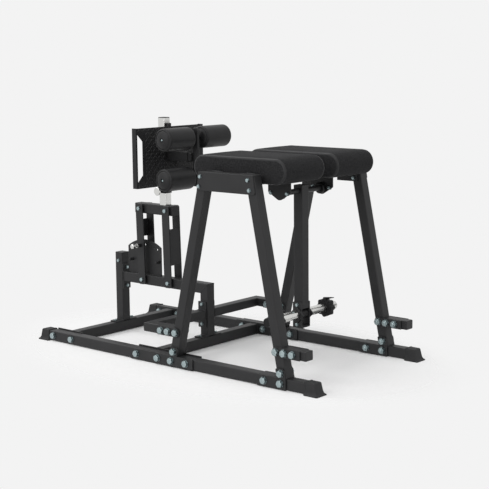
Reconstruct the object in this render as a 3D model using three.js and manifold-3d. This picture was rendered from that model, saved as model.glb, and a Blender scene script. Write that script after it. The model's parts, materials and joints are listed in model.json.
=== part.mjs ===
// Reverse hyperextension machine with a foot plate on a swinging linkage.
// Millimetres. X runs from the foot plate end to the pad end, Y across the
// machine, Z up. The origin is on the floor under the middle of the base.
import * as THREE from 'three';
import { mergeVertices } from 'three/addons/utils/BufferGeometryUtils.js';
import Module from 'manifold-3d';

const wasm = await Module();
wasm.setup();

// Driving dimensions. Heights are above the underside of the side rails.
const frameLength = 2102;        // over the lips of the rubber boots
const frameWidth = 965;          // over the outer faces of the side rails
const rearPostInset = 223;       // middle of the rear post and its cross tube, from the boots' lips
const frontPostX = -125;         // middle of the front post and its cross tube
const rearLegFootX = 62;         // middle of the rear leg where it meets the rail
const frontLegInset = 230;       // the same for the front leg, from the boots' lips
const rearLegTopX = 303;         // middle of the rear leg at its top
const frontLegTopX = 613;        // the same for the front leg
const legTopZ = 1077;            // top of both A-frames
const pivotX = 568;              // pendulum pivot
const pivotZ = 953;

const rearPostX = rearPostInset - frameLength / 2;
const frontLegFootX = frameLength / 2 - frontLegInset;

// Square tube, plate and fit
const tube = 60;                 // outside of the frame tube
const wall = 3;                  // tube wall
const tubeRadius = 6;            // outside corner of the tube
const cornerSteps = 1;           // a quarter round has twice as many chords
const plate = 8;                 // joint plates
const fit = 0.3;                 // gap between pieces that touch
const overrun = 20;              // how far a cutting tool runs past the metal

// Rubber boots on the ends of the side rails
const bootSole = 3;              // rubber under the rail
const bootWall = 3;              // rubber round the rail
const bootLength = 89;           // mouth to lip
const bootLip = 10;              // how far the lip stands out
const bootLipHeight = 6;
const bootSlope = 17;            // how far the end wall leans in at the top
const bootCover = 55;            // length of rail inside the boot

// Joint plates on the side rails
const innerPlateRise = 6;        // how far an inner plate stands over the rail
const rearPlateBehind = 124;     // plates at the rear cross tube, from its middle
const rearPlateAhead = 86;
const middlePlateBehind = 141;   // middle plates, from the middle cross tube
const middlePlateAhead = 146;    // and past the rear leg's foot
const frontPlateBehind = 162;    // front plates, from the front leg's foot
const frontPlateAhead = 28;
const tabHeight = 50;            // tab of a joint plate on the leg
const tabWidth = 56;

// Cover plate on each A-frame
const coverBottomZ = 979;
const coverBottomFrom = 259;
const coverBottomTo = 656;
const coverTopFrom = 272;
const coverTopTo = 642;
const coverCorner = 12;

// Step stubs in front and braces behind, on forks round the legs
const stubHeight = 50;           // outside height of stub and brace tube
const stubZ = 192;               // middle height of stub and brace
const stubReach = 152;           // end of the stub with its cap, from the leg's foot
const stubCapLength = 20;
const capRadius = 4;             // round edge of the stub's cap
const stubPlateReach = 118;      // front end of the fork plates on the stub
const forkPast = 33;             // a stub's fork plate runs this far past the leg's middle
const braceForkBehind = 113;     // rear end of the brace's fork plates, from the rear leg's foot
const braceForkAhead = 52;       // round front end of the same
const braceSetBack = 8;          // cross part of the brace behind the front post's middle
const braceFlangeBottomZ = 113;  // flange plate on the front post
const braceFlangeTopZ = 265;

// Posts and beam of the rear bridge
const rearPostTopZ = 486;
const beamTopZ = 370;
const basePlateLength = 170;     // along the cross tube
const basePlateThickness = 6;
const beamFlangeBottomZ = 262;   // end plate of the beam on the rear post
const beamFlangeTopZ = 416;

// Index plate on the beam, round the rear link's lower pivot
const indexY = -4.5;             // its middle, off the middle of the beam
const indexRadius = 238;
const indexArcBack = 8;          // middle of its round top behind the pivot
const indexRear = 151;           // from the pivot back to the plate's rear edge
const indexFront = 126;
const holeRadius = 208;          // circle of the index holes
const holeStep = 7.2;            // degrees
const holesBehind = 3;           // holes behind the rest hole
const holesAhead = 4;
const holeSize = 13;             // diameter
const bumperSize = 17;           // diameter of a rubber stop
const bumperLength = 32;
const bumperCircle = 158;
const bumperAngle = 45;          // degrees either side of upright

// Parallelogram links
const rearLinkAhead = 216;       // lower pivot of the rear link, from the rear post
const linkPitch = 216;           // between the two links
const linkPivotZ = 342;
const linkLength = 430;          // pivot to pivot
const linkLean = 1.7;            // degrees to the rear at rest
const linkBarWidth = 56;
const linkBarGap = 10;           // spacer between the beam and a link bar
const linkBarEnd = 28;           // bar past its pivot
const rearWebFrom = 257;         // web plate of the rear link, from its lower pivot
const rearWebTo = 361;
const frontWebFrom = 107;
const frontWebTo = 322;
const pivotBolt = 16;            // diameter of a link pivot bolt
const pivotHead = 28;            // over the corners
const pivotHeadHeight = 9;
const boltClearance = 1.4;       // on the diameter
const spacerSize = 30;           // diameter of a pivot spacer

// Carrier tube and square chrome post
const carrierBehind = 62;        // end of the carrier tube, from the rear link's pivot
const carrierAhead = 28;         // and past the front link's pivot
const postAhead = 163.5;         // middle of the post, from the rear link's pivot
const postSize = 50;
const postRadius = 4;
const postTopZ = 1318;
const postHoleStep = 30;
const postHoleCount = 12;        // from the height pin up
const postHoleSize = 12;

// Sleeve that slides on the post, with its bush, strap and arm box
const sleeveWall = 3;
const sleeveBottomZ = 905;
const sleeveTopZ = 1255;
const bushLiner = 1.3;           // bush between post and sleeve
const bushCollar = 2.8;          // wall of the bush under the sleeve
const bushDrop = 32;             // height of that collar
const slideClearance = 0.4;      // per side
const strapWidth = 24;
const strapTopZ = 1284;
const strapBottomZ = 925;
const armBoxTopZ = 1126;
const armBoxReach = 157;         // end of the arm box, from the foot plate
const armSize = 50;              // tube that slides in the arm box
const armInside = 160;           // length of it inside the box at rest
const armClearance = 0.7;
const armPinAhead = 39;          // from the foot plate
const armHoleStep = 30;

// Tread foot plate
const footPlateAhead = 52.5;     // front face, from the middle of the post
const footPlateThickness = 5;
const footPlateWidth = 554;
const footPlateBottomZ = 922;
const footPlateTopZ = 1266;
const footFlange = 37;           // side flange turned back from the plate
const windowInset = 6;           // hand-hold window, from the side of the plate
const windowWidth = 42;
const windowOuter = 277;         // its height at the flange
const windowInner = 193;         // and towards the middle

// Roller bar, axles and rollers
const barAhead = 200;            // middle of the roller bar, from the foot plate
const barWidth = 40;             // along the machine
const barDepth = 20;             // across it
const barPastTop = 60;           // bar above the upper axle
const barPastBottom = 53.5;      // and below the lower one
const rollerSetBack = 14;        // axis of the rollers behind the middle of the bar
const rollerSpacing = 226.5;     // between the two axles
const lowerRollerZ = 980.5;
const rollerRadius = 64;
const rollerInner = 38;          // from the middle of the machine
const rollerOuter = 268;
const rollerDome = 12;           // how far the ends swell
const rollerDomeRadius = 54;
const rollerEdge = 10;
const axleSize = 19;             // diameter
const axleHead = 24;
const axleHeadLength = 3;
const rollerBore = 20;           // diameter

// Pads on their crossbars
const padRearX = 140;
const padLength = 636;
const padBottomZ = 1020;
const padHeight = 140;
const padInner = 53;             // half of the gap between the pads
const padSideGap = 31.5;         // between a pad and its A-frame
const padCrown = 7;              // how far the end faces swell
const padTopCrown = 4;           // how far the top swells
const padEdge = 9;               // draw-in at the piped edges
const padRound = 36;             // points round a pad
const padAcross = 10;            // stations across a pad
const innerRingShare = 0.6;      // ring of the swollen end face
const innerSwellShare = 0.8;     // part of the swell that this ring has
const crossbarBottomZ = 1017;
const rearCrossbarX = 330;
const frontCrossbarX = 566;
const crossbarPlateWidth = 110;
const notchClearance = 0.6;
const drainHole = 11;            // diameter

// Pendulum, its shaft and bearing plates
const shaftSize = 30;            // diameter
const shaftHalf = 186;           // half length
const bearingY = 183;            // middle of each bearing plate
const bearingPlateWidth = 152;
const bearingTipZ = 918;
const bearingTipHalf = 12;
const bearingShoulderZ = 958;
const bearingHousing = 62;       // diameter of the bearing boss
const bearingBoss = 22;          // boss on the inner side of the plate
const bearingClearance = 0.5;
const armTopZ = 985;
const armBottomZ = 312;
const forkTopZ = 349;
const forkBottomZ = 207;
const weightZ = 280;             // axis of the weight sleeve
const weightDiameter = 48;
const weightWall = 4;
const weightHalf = 298;          // half length
const diamondSize = 98;          // corner to corner
const collarY = 219;
const collarSize = 100;          // over the flats of a lock collar
const collarWidth = 40;
const collarSides = 8;
const collarLever = 30;          // lever past the collar
const collarClearance = 0.5;     // per side

// Pull pins
const pinBodySize = 22;          // black housing, diameter
const pinRodSize = 10;
const linkPinBody = 18;          // length of the housing
const linkPinNeck = 36;          // rod between housing and knob
const linkPinKnob = 30;          // diameter
const linkPinKnobLength = 18;
const heightPinZ = 887;
const heightPinBody = 14;
const heightPinNeck = 18;
const heightPinKnob = 48;
const heightPinKnobLength = 12;
const armPinBody = 12;
const armPinNeck = 5;
const armPinKnob = 22;
const armPinKnobLength = 9;

// Bolts: hexagon head on a round washer
const washerSize = 43;           // diameter
const washerThickness = 3;
const headSize = 34.6;           // over the corners
const headHeight = 12;
const roundSides = 10;
const holeSides = 6;
const rollerSides = 20;
const rollerEdgeSteps = 2;
const rollerDomeSteps = 2;
const indexArcSteps = 12;
const hexagon = 6;
const boltPastPost = 71;         // nearest bolt ahead of the front post
const boltBehindPost = 92;
const boltBehindLeg = 13;        // bolts near the rear leg's foot
const boltPastLeg = 96;
const frontBoltsBehind = [114, 6]; // behind the front leg's foot
const railBoltZ = 32;
const legBoltZ = 84;
const stubBoltsAhead = [-35, 17, 72]; // of the front leg's foot
const braceBoltsBehind = [85, 33.5, -24.5]; // the rear leg's foot

const rearPlateFrom = rearPostX - rearPlateBehind;
const rearPlateTo = rearPostX + rearPlateAhead;
const middlePlateFrom = frontPostX - middlePlateBehind;
const middlePlateTo = rearLegFootX + middlePlateAhead;
const frontPlateFrom = frontLegFootX - frontPlateBehind;
const frontPlateTo = frontLegFootX + frontPlateAhead;
const middleRailBolts = [
  frontPostX - boltBehindPost, frontPostX + boltPastPost,
  rearLegFootX - boltBehindLeg, rearLegFootX + boltPastLeg,
];
const frontRailBolts = frontBoltsBehind.map((back) => frontLegFootX - back);
const stubBolts = stubBoltsAhead.map((ahead) => frontLegFootX + ahead);
const braceBolts = braceBoltsBehind.map((back) => rearLegFootX - back);
const stubEndX = frontLegFootX + stubReach;
const stubPlateEndX = frontLegFootX + stubPlateReach;
const braceForkFrom = rearLegFootX - braceForkBehind;
const braceForkTo = rearLegFootX + braceForkAhead;
const rearLinkX = rearPostX + rearLinkAhead;
const carrierRearX = rearLinkX - carrierBehind;
const carrierFrontX = rearLinkX + linkPitch + carrierAhead;
const postX = rearLinkX + postAhead;
const footPlateX = postX + footPlateAhead;
const armBoxEndX = footPlateX + armBoxReach;
const armPinX = footPlateX + armPinAhead;
const barX = footPlateX + barAhead;
const rollerX = barX - rollerSetBack;
const upperRollerZ = lowerRollerZ + rollerSpacing;
const barTopZ = upperRollerZ + barPastTop;
const barBottomZ = lowerRollerZ - barPastBottom;
const halfWidth = frameWidth / 2;
const padOuter = halfWidth - tube - padSideGap;
const railMiddle = tube / 2;
const railY = halfWidth - tube / 2;
const footZ = tube + fit;
const legHeight = legTopZ - footZ;
const rearLean = (rearLegTopX - rearLegFootX) / legHeight;
const frontLean = (frontLegTopX - frontLegFootX) / legHeight;
const outerPlateY = halfWidth + fit + plate / 2;
const innerPlateY = halfWidth - tube - fit - plate / 2;
const restLean = THREE.MathUtils.degToRad(linkLean);
const carrierZ = linkPivotZ + linkLength * Math.cos(restLean);
const carrierShift = -linkLength * Math.sin(restLean);
const carrierTop = carrierZ + tube / 2;
const linkBarY = tube / 2 + linkBarGap + plate / 2;
const linkBarFace = linkBarY + plate / 2;
const boltHole = pivotBolt + boltClearance;
const sides = [{ name: 'near', sign: -1 }, { name: 'far', sign: 1 }];

const paint = new THREE.MeshStandardMaterial({ color: 0x2c2c2e, roughness: 0.55, metalness: 0.3 });
const chrome = new THREE.MeshStandardMaterial({ color: 0xd0d0d0, roughness: 0.15, metalness: 1 });
const zinc = new THREE.MeshStandardMaterial({ color: 0x9aa8aa, roughness: 0.35, metalness: 1 });
const rubber = new THREE.MeshStandardMaterial({ color: 0x242424, roughness: 0.8, metalness: 0 });
const plastic = new THREE.MeshStandardMaterial({ color: 0x1c1c1d, roughness: 0.5, metalness: 0 });
const vinyl = new THREE.MeshStandardMaterial({ color: 0x262627, roughness: 0.6, metalness: 0 });
const foam = new THREE.MeshStandardMaterial({ color: 0x232324, roughness: 0.75, metalness: 0 });

// Everything but the boots stands on the boot soles.
const machine = new THREE.Group();
machine.position.z = bootSole;

// Adds one named piece, whose geometry is drawn round its own origin.
function add(name, geometry, material, x = 0, y = 0, z = 0, parent = machine) {
  const mesh = new THREE.Mesh(geometry, material);
  mesh.name = name;
  mesh.position.set(x, y, z);
  parent.add(mesh);
  return mesh;
}

// Turns a closed geometry into a solid that can be joined or cut.
function solid(geometry) {
  const bare = geometry.clone();
  bare.deleteAttribute('normal');
  bare.deleteAttribute('uv');
  const merged = mergeVertices(bare);
  const vertProperties = new Float32Array(merged.attributes.position.array);
  const triVerts = new Uint32Array(merged.index.array);
  return new wasm.Manifold(new wasm.Mesh({ numProp: 3, vertProperties, triVerts }));
}

// Turns a solid back into a geometry.
function geometryOf(body) {
  const { vertProperties, triVerts } = body.getMesh();
  const geometry = new THREE.BufferGeometry();
  geometry.setAttribute('position', new THREE.BufferAttribute(vertProperties, 3));
  geometry.setIndex(new THREE.BufferAttribute(triVerts, 1));
  geometry.computeVertexNormals();
  return geometry;
}

function join(geometries) {
  const [first, ...rest] = geometries.map(solid);
  return geometryOf(rest.reduce((body, next) => body.add(next), first));
}

function cut(geometry, tools) {
  return geometryOf(tools.map(solid).reduce((body, tool) => body.subtract(tool), solid(geometry)));
}

// A rectangle with round corners, centred on the origin.
function rectangle(width, height, radius) {
  const shape = new THREE.Shape();
  const x = width / 2 - radius;
  const y = height / 2 - radius;
  shape.absarc(x, y, radius, 0, Math.PI / 2);
  shape.absarc(-x, y, radius, Math.PI / 2, Math.PI);
  shape.absarc(-x, -y, radius, Math.PI, 1.5 * Math.PI);
  shape.absarc(x, -y, radius, 1.5 * Math.PI, 2 * Math.PI);
  return shape;
}

// Turns a prism drawn along Z so that it runs along the named axis. The drawing's
// sides then lie along (Y, Z) for x and along (Z, X) for y.
function turned(geometry, axis) {
  const [x, y, z] = [[1, 0, 0], [0, 1, 0], [0, 0, 1]].map((v) => new THREE.Vector3(...v));
  if (axis === 'x') geometry.applyMatrix4(new THREE.Matrix4().makeBasis(y, z, x));
  if (axis === 'y') geometry.applyMatrix4(new THREE.Matrix4().makeBasis(z, x, y));
  return geometry;
}

// A prism of a drawn shape, centred on its length.
function prism(shape, length, axis = 'z', curveSegments = cornerSteps) {
  const options = { depth: length, bevelEnabled: false, curveSegments };
  const geometry = new THREE.ExtrudeGeometry(shape, options);
  return turned(geometry.translate(0, 0, -length / 2), axis);
}

// A hollow tube with round outside corners along an axis.
function squareTube(length, sideA, sideB, axis, thickness = wall, radius = tubeRadius) {
  const shape = rectangle(sideA, sideB, radius);
  const [x, y] = [sideA / 2 - thickness, sideB / 2 - thickness];
  shape.holes.push(new THREE.Path([point(x, y), point(-x, y), point(-x, -y), point(x, -y)]));
  return prism(shape, length, axis);
}

// A full bar of the same outline.
function block(length, sideA, sideB, axis, radius = tubeRadius) {
  return prism(rectangle(sideA, sideB, radius), length, axis);
}

function box(x, y, z) {
  return new THREE.BoxGeometry(x, y, z);
}

// A box between two corners.
function boxBetween(fromX, toX, fromY, toY, fromZ, toZ) {
  return box(toX - fromX, toY - fromY, toZ - fromZ)
    .translate((fromX + toX) / 2, (fromY + toY) / 2, (fromZ + toZ) / 2);
}

// A round bar along an axis.
function rod(diameter, length, axis, segments = roundSides) {
  const geometry = new THREE.CylinderGeometry(diameter / 2, diameter / 2, length, segments);
  return turned(geometry.rotateX(Math.PI / 2), axis);
}

function point(x, y) {
  return new THREE.Vector2(x, y);
}

// A flat plate across Y from an outline in X and Z, centred on its thickness.
function plateXZ(outline, thickness, curveSegments = cornerSteps) {
  const shape = Array.isArray(outline) ? new THREE.Shape(outline) : outline;
  const options = { depth: thickness, bevelEnabled: false, curveSegments };
  const geometry = new THREE.ExtrudeGeometry(shape, options);
  return geometry.translate(0, 0, -thickness / 2).rotateX(Math.PI / 2);
}

// A bolt head on its washer. Its seat is the plane y = 0, it looks towards
// sign * Y, and its washer reaches back into the plate that it is joined to.
function boltHead(sign, x, y, z) {
  const washer = rod(washerSize, 2 * washerThickness, 'y');
  const headLength = headHeight + washerThickness / 2;
  const head = rod(headSize, headLength, 'y', hexagon);
  head.translate(0, sign * (washerThickness + headLength) / 2, 0);
  return join([washer, head]).translate(x, y, z);
}

// Bolt heads in a row on one face.
function boltRow(sign, places, y, z) {
  return places.map((x) => boltHead(sign, x, y, z));
}

function sheared(geometry, lean) {
  return geometry.applyMatrix4(new THREE.Matrix4().makeShear(0, 0, 0, 0, lean, 0));
}

// The full outline of a leaning leg, drawn from its foot and past its top, grown
// by a margin.
function legBlock(lean) {
  const side = tube + 2 * fit;
  const height = legHeight + overrun;
  return sheared(block(height, side, side, 'z').translate(0, 0, height / 2), lean);
}

// Turns a piece of the near side into that of the far side.
function mirrored(geometry) {
  geometry.applyMatrix4(new THREE.Matrix4().makeScale(1, -1, 1));
  const index = geometry.index.array;
  for (let i = 0; i < index.length; i += 3) [index[i], index[i + 1]] = [index[i + 1], index[i]];
  geometry.computeVertexNormals();
  return geometry;
}

// Side rails and the boots on their ends
function buildRails() {
  const railEnd = frameLength / 2 - bootLength + bootCover - fit;
  for (const { name, sign } of sides) {
    const y = sign * railY;
    add(`${name}_side_rail`, squareTube(2 * railEnd, tube, tube, 'x'), paint, 0, y, railMiddle);
    const mouth = frameLength / 2 - bootLength;
    add(`${name}_front_boot`, boot(), rubber, mouth, y, -bootSole);
    add(`${name}_rear_boot`, boot().rotateZ(Math.PI), rubber, -mouth, y, -bootSole);
  }
}

// One boot: a wedge of rubber with a lip, open where the rail goes in at x = 0.
function boot() {
  const width = tube + 2 * bootWall;
  const top = bootSole + tube + bootWall;
  const end = bootLength - bootLip;
  const wedge = plateXZ([point(0, 0), point(end, 0), point(end - bootSlope, top), point(0, top)], width);
  const lip = boxBetween(0, bootLength, -width / 2 - bootLip, width / 2 + bootLip, 0, bootLipHeight);
  const socket = tube + 2 * fit;
  const hole = block(bootCover + overrun, socket, socket, 'x');
  hole.translate((bootCover - overrun) / 2, 0, bootSole + railMiddle);
  return cut(join([wedge, lip]), [hole]);
}

// A joint plate's outline: along the rail, with a tab on a leg where there is one.
function railPlate(from, to, top, footX, lean) {
  const body = plateXZ([point(from, 0), point(to, 0), point(to, top), point(from, top)], plate);
  if (footX === undefined) return body;
  const half = tabWidth / 2;
  const shift = lean * tabHeight;
  const low = tube - plate;
  const high = tube + tabHeight;
  const tab = plateXZ([
    point(footX - half, low), point(footX + half, low),
    point(footX + half + shift, high - plate), point(footX + half + shift - plate, high),
    point(footX - half + shift + plate, high), point(footX - half + shift, high - plate),
  ], plate);
  return join([body, tab]);
}

// Cross tubes, welded to the inner joint plates of the rails
function buildCrossTubes() {
  const top = tube + innerPlateRise;
  const rearPlates = [-1, 1].map((sign) => (
    railPlate(rearPlateFrom, rearPlateTo, top).translate(0, sign * innerPlateY, 0)));
  const drain = rod(drainHole, tube, 'z').translate(0, basePlateLength, -tube / 2);
  const bar = cut(squareTube(2 * innerPlateY, tube, tube, 'y'), [drain]).translate(0, 0, railMiddle);
  const rearBar = bar.clone().translate(rearPostX, 0, 0);
  add('rear_cross_tube', join([rearBar, ...rearPlates]), paint);
  const middlePlates = [-1, 1].map((sign) => (
    railPlate(middlePlateFrom, middlePlateTo, top, rearLegFootX, rearLean)
      .translate(0, sign * innerPlateY, 0)));
  const middleBar = bar.clone().translate(frontPostX, 0, 0);
  add('middle_cross_tube', join([middleBar, ...middlePlates]), paint);
}

// Loose joint plates with their bolts
function buildJointPlates() {
  const outerFace = outerPlateY + plate / 2;
  for (const { name, sign } of sides) {
    const middleBolts = boltRow(sign, middleRailBolts, 0, railBoltZ);
    const frontBolts = boltRow(sign, frontRailBolts, 0, railBoltZ);
    const rearLegX = rearLegFootX + rearLean * (legBoltZ - tube);
    const frontLegX = frontLegFootX + frontLean * (legBoltZ - tube);
    const onFace = (heads) => heads.map((head) => head.translate(0, sign * outerFace, 0));
    const middleHeads = onFace([...middleBolts, boltHead(sign, rearLegX, 0, legBoltZ)]);
    const frontHeads = onFace([...frontBolts, boltHead(sign, frontLegX, 0, legBoltZ)]);
    const middleBody = railPlate(middlePlateFrom, middlePlateTo, tube, rearLegFootX, rearLean);
    const frontBody = () => railPlate(frontPlateFrom, frontPlateTo, tube, frontLegFootX, frontLean);
    const y = sign * outerPlateY;
    add(`${name}_middle_joint_plate`, join([middleBody.translate(0, y, 0), ...middleHeads]), paint);
    add(`${name}_front_joint_plate`, join([frontBody().translate(0, y, 0), ...frontHeads]), paint);
    add(`${name}_front_inner_plate`, frontBody(), paint, 0, sign * innerPlateY, 0);
  }
}

// One leaning leg, cut level at both ends
function leg(lean) {
  return sheared(squareTube(legHeight, tube, tube, 'z').translate(0, 0, legHeight / 2), lean);
}

function buildFrames() {
  const topZ = legTopZ - tube / 2;
  const middle = (rearLegTopX + frontLegTopX) / 2;
  for (const { name, sign } of sides) {
    const y = sign * railY;
    add(`${name}_rear_leg`, leg(rearLean), paint, rearLegFootX, y, footZ);
    add(`${name}_front_leg`, leg(frontLean), paint, frontLegFootX, y, footZ);
    const bar = squareTube(frontLegTopX - rearLegTopX, tube, tube, 'x');
    const rearCut = legBlock(rearLean).translate(rearLegFootX - middle, 0, footZ - topZ);
    const frontCut = legBlock(frontLean).translate(frontLegFootX - middle, 0, footZ - topZ);
    add(`${name}_top_tube`, cut(bar, [rearCut, frontCut]), paint, middle, y, topZ);
    add(`${name}_cover_plate`, coverPlate(), paint, 0, sign * outerPlateY, 0);
  }
}

function coverPlate() {
  const shape = new THREE.Shape();
  shape.moveTo(coverBottomFrom, coverBottomZ);
  shape.lineTo(coverBottomTo - coverCorner, coverBottomZ);
  shape.quadraticCurveTo(coverBottomTo, coverBottomZ, coverBottomTo, coverBottomZ + coverCorner);
  shape.lineTo(coverTopTo, legTopZ);
  shape.lineTo(coverTopFrom, legTopZ);
  return plateXZ(shape, plate);
}

// A fork plate with one round end, drawn round the stub's middle height.
function forkPlate(from, to, roundAtRear) {
  const half = stubHeight / 2;
  const shape = new THREE.Shape();
  if (roundAtRear) {
    shape.moveTo(to, half);
    shape.lineTo(from + half, half);
    shape.absarc(from + half, 0, half, Math.PI / 2, 1.5 * Math.PI);
    shape.lineTo(to, -half);
  } else {
    shape.moveTo(from, -half);
    shape.lineTo(to - half, -half);
    shape.absarc(to - half, 0, half, -Math.PI / 2, Math.PI / 2);
    shape.lineTo(from, half);
  }
  return plateXZ(shape, plate, 3 * cornerSteps);
}

// Two fork plates, the welds that hold them to the tube, and the bolts outside.
function fork(from, to, roundAtRear, weldX, bolts, outside) {
  const y = tube / 2 + fit + plate / 2;
  const parts = [];
  for (const face of [-1, 1]) {
    parts.push(forkPlate(from, to, roundAtRear).translate(0, face * y, 0));
    parts.push(box(plate, 2 * fit + plate, stubHeight / 2).translate(weldX, face * (tube / 2), 0));
  }
  parts.push(...boltRow(outside, bolts, outside * (y + plate / 2), 0));
  return parts;
}

function legMiddleAt(footX, lean, z) {
  return footX + lean * (z - footZ);
}

// Step stubs on the front legs
function buildStubs() {
  const legX = legMiddleAt(frontLegFootX, frontLean, stubZ);
  for (const { name, sign } of sides) {
    const tubeEnd = stubEndX - stubCapLength;
    const bar = squareTube(tubeEnd - legX, tube, stubHeight, 'x').translate((tubeEnd + legX) / 2, 0, 0);
    const legCut = legBlock(frontLean).translate(frontLegFootX, 0, footZ - stubZ);
    const parts = fork(legX - forkPast, stubPlateEndX, true, stubPlateEndX - plate, stubBolts, sign);
    const geometry = join([cut(bar, [legCut]), stubCap(tubeEnd), ...parts]);
    add(`${name}_step_stub`, geometry, paint, 0, sign * railY, stubZ);
  }
}

// The rounded cap on the end of a stub.
function stubCap(from) {
  const overlap = wall;
  const full = block(overlap + stubCapLength - capRadius, tube, stubHeight, 'x');
  full.translate(from - overlap + (overlap + stubCapLength - capRadius) / 2, 0, 0);
  const inset = capRadius * (1 - Math.SQRT1_2);
  const rounded = block(overlap + stubCapLength - inset, tube - inset, stubHeight - inset, 'x');
  rounded.translate(from - overlap + (overlap + stubCapLength - inset) / 2, 0, 0);
  const nose = block(overlap + stubCapLength, tube - capRadius, stubHeight - capRadius, 'x');
  nose.translate(from - overlap + (overlap + stubCapLength) / 2, 0, 0);
  return join([full, rounded, nose]);
}

// Cuts a tube's mitre: it removes one side of the plane y = x.
function mitreTool(reach, direction) {
  const size = 2 * reach;
  return box(size, size, size).translate(0, direction * (reach + fit), 0).rotateZ(Math.PI / 4);
}

// L-shaped braces from the front post to the rear legs
function buildBraces() {
  const legX = legMiddleAt(rearLegFootX, rearLean, stubZ);
  const barEnd = railY - tube / 2 - fit - plate / 2;
  const crossX = frontPostX - braceSetBack;
  const armFrom = crossX - tube / 2;
  for (const { name, sign } of sides) {
    const arm = squareTube(legX - armFrom, tube, stubHeight, 'x').translate((legX + armFrom) / 2, 0, 0);
    const legCut = legBlock(rearLean).translate(rearLegFootX, 0, footZ - stubZ);
    const bar = squareTube(barEnd + tube / 2, stubHeight, tube, 'y');
    bar.translate(crossX, (barEnd - tube / 2) / 2, 0);
    const armCut = mitreTool(2 * tube + legX - armFrom, 1).translate(crossX, 0, 0);
    const barCut = mitreTool(barEnd + 2 * tube, -1).translate(crossX, 0, 0);
    const parts = fork(braceForkFrom, braceForkTo, false, braceForkFrom + plate, braceBolts, -1);
    const flange = boxBetween(armFrom, armFrom + tube, barEnd - plate / 2, barEnd + plate / 2,
      braceFlangeBottomZ - stubZ, braceFlangeTopZ - stubZ);
    const geometry = join([cut(arm, [legCut, armCut]), cut(bar, [barCut]), ...parts, flange]);
    add(`${name}_brace`, sign > 0 ? mirrored(geometry) : geometry, paint, 0, sign * railY, stubZ);
  }
}

// Posts and beam between the two cross tubes
function buildBridge() {
  const baseZ = footZ;
  const base = () => box(tube, basePlateLength, basePlateThickness).translate(0, 0, basePlateThickness / 2);
  const rearHeight = rearPostTopZ - baseZ;
  const rearTube = squareTube(rearHeight, tube, tube, 'z').translate(0, 0, rearHeight / 2);
  add('rear_post', join([rearTube, base()]), paint, rearPostX, 0, baseZ);

  const frontHeight = beamTopZ - baseZ;
  const axisZ = frontHeight - tube / 2;
  const reach = 2 * (frontPostX - rearPostX);
  const mitre = (direction) => box(2 * reach, 2 * reach, 2 * reach)
    .translate(0, 0, direction * (reach - fit / 2)).rotateY(-Math.PI / 4).translate(0, 0, axisZ);
  const frontTube = squareTube(frontHeight, tube, tube, 'z').translate(0, 0, frontHeight / 2);
  add('front_post', join([cut(frontTube, [mitre(1)]), base()]), paint, frontPostX, 0, baseZ);

  const from = rearPostX + tube / 2 + fit - frontPostX;
  const beamTube = squareTube(tube / 2 - from, tube, tube, 'x').translate((tube / 2 + from) / 2, 0, axisZ);
  const flange = boxBetween(from, from + plate, -tube / 2, tube / 2,
    beamFlangeBottomZ - baseZ, beamFlangeTopZ - baseZ);
  const tools = [0, linkPitch].map((x) => (
    rod(boltHole, tube + overrun, 'y').translate(rearLinkX + x - frontPostX, 0, linkPivotZ - baseZ)));
  add('bridge_beam', join([cut(beamTube, [mitre(-1), ...tools]), flange]), paint, frontPostX, 0, baseZ);
}

// Index plate on top of the beam, with its holes and rubber stops
function buildIndexPlate() {
  const bottom = beamTopZ + fit - linkPivotZ;
  const rise = (back) => Math.sqrt(indexRadius ** 2 - back ** 2);
  const shape = new THREE.Shape();
  shape.moveTo(-indexRear, bottom);
  shape.lineTo(indexFront, bottom);
  const front = indexFront + indexArcBack;
  const rear = indexRear - indexArcBack;
  const from = Math.atan2(rise(front), front);
  const to = Math.atan2(rise(rear), -rear);
  shape.absarc(-indexArcBack, 0, indexRadius, from, to);
  const tools = [];
  for (let i = -holesBehind; i <= holesAhead; i += 1) {
    const angle = THREE.MathUtils.degToRad(i * holeStep - linkLean);
    tools.push(rod(holeSize, plate + overrun, 'y', collarSides)
      .translate(holeRadius * Math.sin(angle), 0, holeRadius * Math.cos(angle)));
  }
  const angle = THREE.MathUtils.degToRad(bumperAngle);
  const bumpers = [-1, 1].map((side) => (
    rod(bumperSize, bumperLength + plate / 2, 'y').translate(
      side * bumperCircle * Math.sin(angle), -(bumperLength + plate / 2) / 2,
      bumperCircle * Math.cos(angle))));
  const body = cut(plateXZ(shape, plate, indexArcSteps), tools);
  add('index_plate', join([body, ...bumpers]), paint, rearLinkX, indexY, linkPivotZ);
}

// One link, drawn upright from its lower pivot: two flat bars, spacers and a web.
function link(webFrom, webTo, webSide) {
  const length = linkLength + 2 * linkBarEnd;
  const bars = [-1, 1].map((face) => (
    prism(rectangle(linkBarWidth, length, linkBarWidth / 4), plate)
      .rotateX(Math.PI / 2).translate(0, face * linkBarY, linkLength / 2)));
  const webX = webSide * (linkBarWidth / 2 - plate / 2);
  const web = box(plate, 2 * linkBarY, webTo - webFrom).translate(webX, 0, (webFrom + webTo) / 2);
  const spacerFrom = tube / 2 + fit;
  const spacers = [0, linkLength].flatMap((z) => [-1, 1].map((face) => (
    rod(spacerSize, linkBarY - spacerFrom, 'y').translate(0, face * (linkBarY + spacerFrom) / 2, z))));
  const bores = [0, linkLength].map((z) =>
    rod(boltHole, 2 * linkBarY + 2 * overrun, 'y').translate(0, 0, z));
  return cut(join([...bars, web, ...spacers]), bores);
}

// A pivot bolt right through a link, with its head and nut.
function pivotBoltThrough() {
  const seat = linkBarFace + fit;
  const headEnd = seat + pivotHeadHeight;
  return join([
    rod(pivotBolt, 2 * headEnd - pivotHeadHeight, 'y'),
    ...[-1, 1].map((face) => rod(pivotHead, pivotHeadHeight, 'y', hexagon)
      .translate(0, face * (seat + headEnd) / 2, 0)),
  ]);
}

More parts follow.
